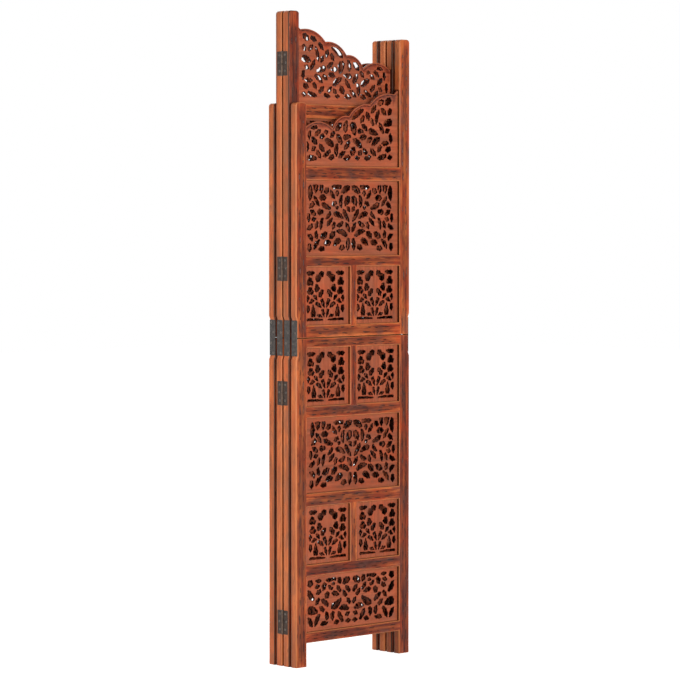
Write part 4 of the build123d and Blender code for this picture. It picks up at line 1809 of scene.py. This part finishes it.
@dataclass
class Ironwork:
    """Joining plates, butt hinges, their pins and all the screws of a leaf."""

    plan: LeafPlan
    plate_height: float = 90.0
    plate_width: float = 20.0
    plate_thickness: float = 1.6
    plate_seat: float = 4.0
    plate_corner: float = 1.2
    plate_arris: float = 0.35
    plate_screws: tuple[float, ...] = (-0.42, -0.15, 0.15, 0.42)
    plate_zigzag: float = 4.0
    hinge_height: float = 61.0
    hinge_width: float = 17.0
    hinge_thickness: float = 1.5
    hinge_proud: float = 0.3
    # Heights above the floor, below the seam, above the seam and below the hinged stile's top.
    hinge_places: tuple[float, float, float, float] = (112.0, 139.0, 174.0, 73.0)
    hinge_screws: tuple[float, float, float] = (0.2, 0.53, 0.85)
    hinge_zigzag: float = 1.5
    axis_offset: float = 1.0
    web_lap: float = 1.0  # the web to the knuckle lies so far under the plate
    knuckle_radius: float = 2.4
    knuckle_gap: float = 0.3
    knuckle_arris: float = 0.35
    # painted highlight down the knuckle's round side
    knuckle_highlight: tuple[float, ...] = (0.2, 0.9, 1.0, 1.0, 0.9, 0.2)
    pin_radius: float = 1.2
    pin_play: float = 0.05
    pin_wear: float = 0.5
    head_height: float = 0.8
    head_inset: float = 0.3
    screw_radius: float = 2.9
    screw_thickness: float = 1.4
    screw_sunk: tuple[float, float] = (0.25, 0.3)  # below a joining plate's and a hinge's face
    screw_arris: float = 0.45
    slot_share: float = 0.86
    slot_width: float = 1.1
    slot_depth: float = 0.55
    round_points: tuple[int, int] = (24, 20)  # round a knuckle, and round a pin or a screw

    def hinge_centres(self) -> tuple[float, ...]:
        """Heights of the hinges."""
        seam, (low, below, above, under) = self.plan.seam, self.hinge_places
        return (low, seam - below, seam + above, seam + self.plan.stile_tops[1] - under)

    def plate(self, width: float, height: float, thickness: float) -> Surface:
        """A rolled plate with its corners cut off, upright, about its middle.

        Args:
            width: Width across.
            height: Height up.
            thickness: From face to face.

        Returns:
            The surface.
        """
        w, h, r = width / 2.0, height / 2.0, self.plate_corner
        right = [(w - r, -h), (w, -h + r), (w, h - r), (w - r, h)]
        left = [(-x, -z) for x, z in right]
        return Sheet(np.array([left[-1], *right, *left[:-1]]), thickness, self.plate_arris).surface()

    def screw(self, lean: float) -> Surface:
        """A flat screw head with a slot, about its middle.

        Args:
            lean: Turn of the slot in radians.

        Returns:
            The surface.
        """
        reach = self.screw_radius * self.slot_share
        x, z = reach * math.cos(lean), reach * math.sin(lean)
        slot = Cut(-x, -z, x, z, self.slot_width, point=0.5)
        looks = {"arris": self.screw_arris, "gouges": [slot], "gouge_depth": self.slot_depth}
        outline = circle(self.screw_radius, self.round_points[1])
        return Sheet(outline, self.screw_thickness, **looks).surface()

    def on_edge(self, part: Surface, side: Side, out: float, y: float, z: float) -> Surface:
        """Turn a part to face out of an edge of the leaf and carry it there.

        Args:
            part: Surface that faces the front.
            side: Edge of the leaf.
            out: Distance of its middle plane from the leaf's middle line.
            y: Depth.
            z: Height.

        Returns:
            The placed surface.
        """
        return part.moved(side.value * out, y, z, side.value)

    def joining_plates(self) -> tuple[list[Surface], list[Surface]]:
        """Cut the plates across the seam on both edges.

        Returns:
            The plates and their screws.
        """
        plan = self.plan
        rng = np.random.default_rng(PLATE_SEED + plan.number)
        out = plan.width / 2.0 - self.plate_seat + self.plate_thickness / 2.0
        face = out + self.plate_thickness / 2.0 - self.screw_sunk[0]
        plate = self.plate(self.plate_width, self.plate_height, self.plate_thickness)
        plates, screws = [], []
        for side in Side:
            plates.append(self.on_edge(plate, side, out, plan.middle, plan.seam))
            for index, share in enumerate(self.plate_screws):
                depth = plan.middle + self.plate_zigzag * (1 if index % 2 else -1)
                screw = self.screw(float(rng.uniform(0.0, math.pi)))
                height = plan.seam + share * self.plate_height
                screws.append(self.on_edge(screw, side, face, depth, height))
        return plates, screws

    def barrel(self, knuckle: float) -> Surface:
        """A round knuckle about its axis, with a painted highlight down its side.

        Args:
            knuckle: Height of the knuckle.

        Returns:
            The surface, with its foot at z = 0.
        """
        bore, r, arris = self.pin_radius + self.pin_play, self.knuckle_radius, self.knuckle_arris
        profile = [(bore, 0.0), (r - arris, 0.0), (r, arris)]
        profile += [(r, knuckle - arris), (r - arris, knuckle), (bore, knuckle)]
        return turned_piece(profile, self.round_points[0], list(self.knuckle_highlight))

    def hinges(self) -> tuple[list[Surface], list[Surface]]:
        """Cut the hinge plates with their knuckles, on each hinged edge.

        Returns:
            The plates and knuckles, and their screws.
        """
        plan, tall = self.plan, self.hinge_height
        rng = np.random.default_rng(HINGE_SEED + plan.number)
        knuckle = (tall - self.knuckle_gap) / 2.0
        barrel = self.barrel(knuckle)
        outer = plan.width / 2.0 + self.hinge_proud
        out = outer - self.hinge_thickness / 2.0
        plates, screws = [], []
        for side, toward in plan.hinged_edges():
            face = plan.middle + toward * plan.thickness / 2.0
            axis = plan.middle + toward * plan.pitch / 2.0
            middle = face - toward * (self.hinge_width / 2.0)
            for centre in self.hinge_centres():
                low = centre - tall / 2.0
                plate = self.plate(self.hinge_width, tall, self.hinge_thickness)
                plates.append(self.on_edge(plate, side, out, middle, centre))
                foot = low + (0.0 if toward > 0 else knuckle + self.knuckle_gap)
                plates.append(barrel.moved(side.value * (plan.width / 2.0 + self.axis_offset), axis, foot))
                web = self.plate(abs(axis - face) + self.web_lap, knuckle, self.hinge_thickness)
                web_middle = (axis + face) / 2.0 - toward * self.web_lap / 2.0
                plates.append(self.on_edge(web, side, out, web_middle, foot + knuckle / 2.0))
                for index, share in enumerate(self.hinge_screws):
                    screw = self.screw(float(rng.uniform(0.0, math.pi)))
                    depth = middle - toward * self.hinge_zigzag * (1 if index == 1 else -1)
                    height = low + share * tall
                    screws.append(self.on_edge(screw, side, outer - self.screw_sunk[1], depth, height))
        return plates, screws

    def pins(self) -> list[Surface]:
        """Pins of the hinge line behind this leaf, each with a small flat head at both ends.

        Returns:
            The pins, from the lowest up.
        """
        plan, top, r = self.plan, self.hinge_height, self.pin_radius
        side = plan.hinged_edges()[-1][0]
        inset, play, crown = self.head_inset, self.pin_play, self.head_height
        wide = self.knuckle_radius - inset
        head = [(0.0, crown), (wide - inset, crown), (wide, crown / 2.0), (wide, play), (r, play)]
        profile = [(x, -z) for x, z in head] + [(x, top + z) for x, z in head[::-1]]
        profile[-1] = (0.01, profile[-1][1])  # so that the faces down the axis have some area
        pin = turned_piece(profile, self.round_points[1], [self.pin_wear] * len(profile))
        reach = side.value * (plan.width / 2.0 + self.axis_offset)
        axis = plan.middle + plan.pitch / 2.0
        return [pin.moved(reach, axis, centre - top / 2.0) for centre in self.hinge_centres()]

    def build(self, dresser: Dresser, finishes: Finishes) -> None:
        """Build and dress the ironwork.

        Args:
            dresser: Dresser of the leaf.
            finishes: Finishes of the screen.
        """
        plates, screws = self.joining_plates()
        hinges, hinge_screws = self.hinges()
        pieces = [
            ("seam_plates", plates, finishes.iron, ("joining_plates",)),
            ("butt_hinges", hinges, finishes.hinge, ("hinge_leaves",)),
            ("slotted_screws", screws + hinge_screws, finishes.screw, ()),
        ]
        if self.plan.number < self.plan.count:
            pieces.append(("pins", self.pins(), finishes.screw, ("hinge_pins",)))
        for name, parts, finish, nodes in pieces:
            dresser.dress(name, parts, [0.0] * len(parts), finish, nodes)


@dataclass
class Studio:
    """A plain pale floor, soft lamps and the camera."""

    camera_place: tuple[float, float, float] = (-5.247, -5.4824, 1.1408)  # metres, as all here
    heading: float = 43.744
    tilt: float = 2.427
    lens: float = 157.04  # millimetres, for the sensor below
    sensor: float = 36.0
    sight: tuple[float, float] = (0.1, 100.0)
    floor_reach: float = 14.0
    floor_colour: str = "#f4f4f4"
    floor_glow: float = 0.8  # to the eye alone
    sky_light: float = 0.26  # where the eye sees a strength of one
    aim: tuple[float, float, float] = (0.0, 0.0, 0.85)
    lamps: tuple[tuple[str, tuple[float, float, float], float, float], ...] = (
        ("key_lamp", (-4.5, 0.9, 1.4), 2.0, 125.0),
        ("fill_lamp", (-0.7, -4.7, 1.5), 2.2, 165.0),
        ("rear_lamp", (1.5, 3.6, 3.0), 2.4, 60.0),
    )

    def seen(self, tree: bpy.types.NodeTree) -> bpy.types.NodeSocket:
        """Tell the rays that the eye sees from those that only carry light.

        Args:
            tree: Node tree to add to.

        Returns:
            One where a ray comes from the camera, a gloss or a glass, zero elsewhere.
        """
        rays = add_node(tree, "ShaderNodeLightPath", {}, {}).outputs
        amount = rays["Is Camera Ray"]
        for kind in ("Is Glossy Ray", "Is Transmission Ray"):
            inputs = {0: amount, 1: rays[kind]}
            amount = add_node(tree, "ShaderNodeMath", {"operation": "MAXIMUM"}, inputs).outputs[0]
        return amount

    def floor(self) -> None:
        """A wide pale floor that shows near white to the eye and keeps a soft shadow."""
        mesh = bpy.data.meshes.new("studio_floor")
        reach = self.floor_reach
        corners = rectangle(-reach, reach, -reach, reach)
        mesh.from_pydata([(*corner, 0.0) for corner in corners.tolist()], [], [(0, 1, 2, 3)])
        material, tree, output = new_material("pale_studio_floor")
        diffuse = add_node(tree, "ShaderNodeBsdfDiffuse", {}, {"Color": linear(self.floor_colour)})
        share = {0: self.seen(tree), 1: self.floor_glow}
        amount = add_node(tree, "ShaderNodeMath", {"operation": "MULTIPLY"}, share).outputs[0]
        glow = add_node(tree, "ShaderNodeEmission", {}, {"Color": linear("#ffffff"), "Strength": amount})
        mixed = add_node(tree, "ShaderNodeAddShader", {}, {0: diffuse.outputs[0], 1: glow.outputs[0]})
        tree.links.new(mixed.outputs[0], output.inputs["Surface"])
        mesh.materials.append(material)
        floor = new_object("studio_floor", mesh)

    def world(self) -> None:
        """A white surround to the eye, and an even grey light on everything."""
        world = bpy.data.worlds.new("studio_surround")
        bpy.context.scene.world = world
        world.use_nodes = True
        tree = world.node_tree
        tree.nodes.clear()
        spread = {"Value": self.seen(tree), "To Min": self.sky_light, "To Max": 1.0}
        strength = add_node(tree, "ShaderNodeMapRange", {}, spread).outputs[0]
        light = {"Color": linear("#ffffff"), "Strength": strength}
        sky = add_node(tree, "ShaderNodeBackground", {}, light)
        add_node(tree, "ShaderNodeOutputWorld", {"is_active_output": True}, {"Surface": sky.outputs[0]})

    def add_lamps(self) -> None:
        """Square soft lamps that face the middle of the screen."""
        for name, place, size, power in self.lamps:
            data = bpy.data.lights.new(name, "AREA")
            data.shape, data.size, data.energy = "SQUARE", size, power
            lamp = new_object(name, data)
            lamp.location = place
            way = Vector(self.aim) - Vector(place)
            lamp.rotation_euler = way.to_track_quat("-Z", "Y").to_euler()

    def camera(self) -> None:
        """The camera, level but for a slight tilt down."""
        data = bpy.data.cameras.new("camera")
        data.lens, data.sensor_width = self.lens, self.sensor
        data.clip_start, data.clip_end = self.sight
        camera = new_object("camera", data)
        heading, tilt = math.radians(self.heading), math.radians(self.tilt)
        level = math.cos(tilt)
        way = Vector((math.sin(heading) * level, math.cos(heading) * level, -math.sin(tilt)))
        camera.location = self.camera_place
        camera.rotation_euler = way.to_track_quat("-Z", "Y").to_euler()
        bpy.context.scene.camera = camera

    def build(self) -> None:
        """Build the whole studio."""
        self.floor()
        self.world()
        self.add_lamps()
        self.camera()
        bpy.context.scene.view_settings.view_transform = "Standard"


# ---------------------------------------------------------------------------
# The whole screen
# ---------------------------------------------------------------------------


def main() -> None:
    """Build the leaves front to back, then the studio."""
    logging.basicConfig(level=logging.INFO, format="%(message)s")
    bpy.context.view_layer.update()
    finishes = Finishes.made()
    for number in range(1, LeafPlan.count + 1):
        plan = LeafPlan(number)
        dresser = Dresser(f"leaf_{number}")
        FrameMembers(plan).build(dresser, finishes)
        JaliBoards(plan).build(dresser, finishes)
        Ironwork(plan).build(dresser, finishes)
    Studio().build()


if __name__ == "__main__":
    main()
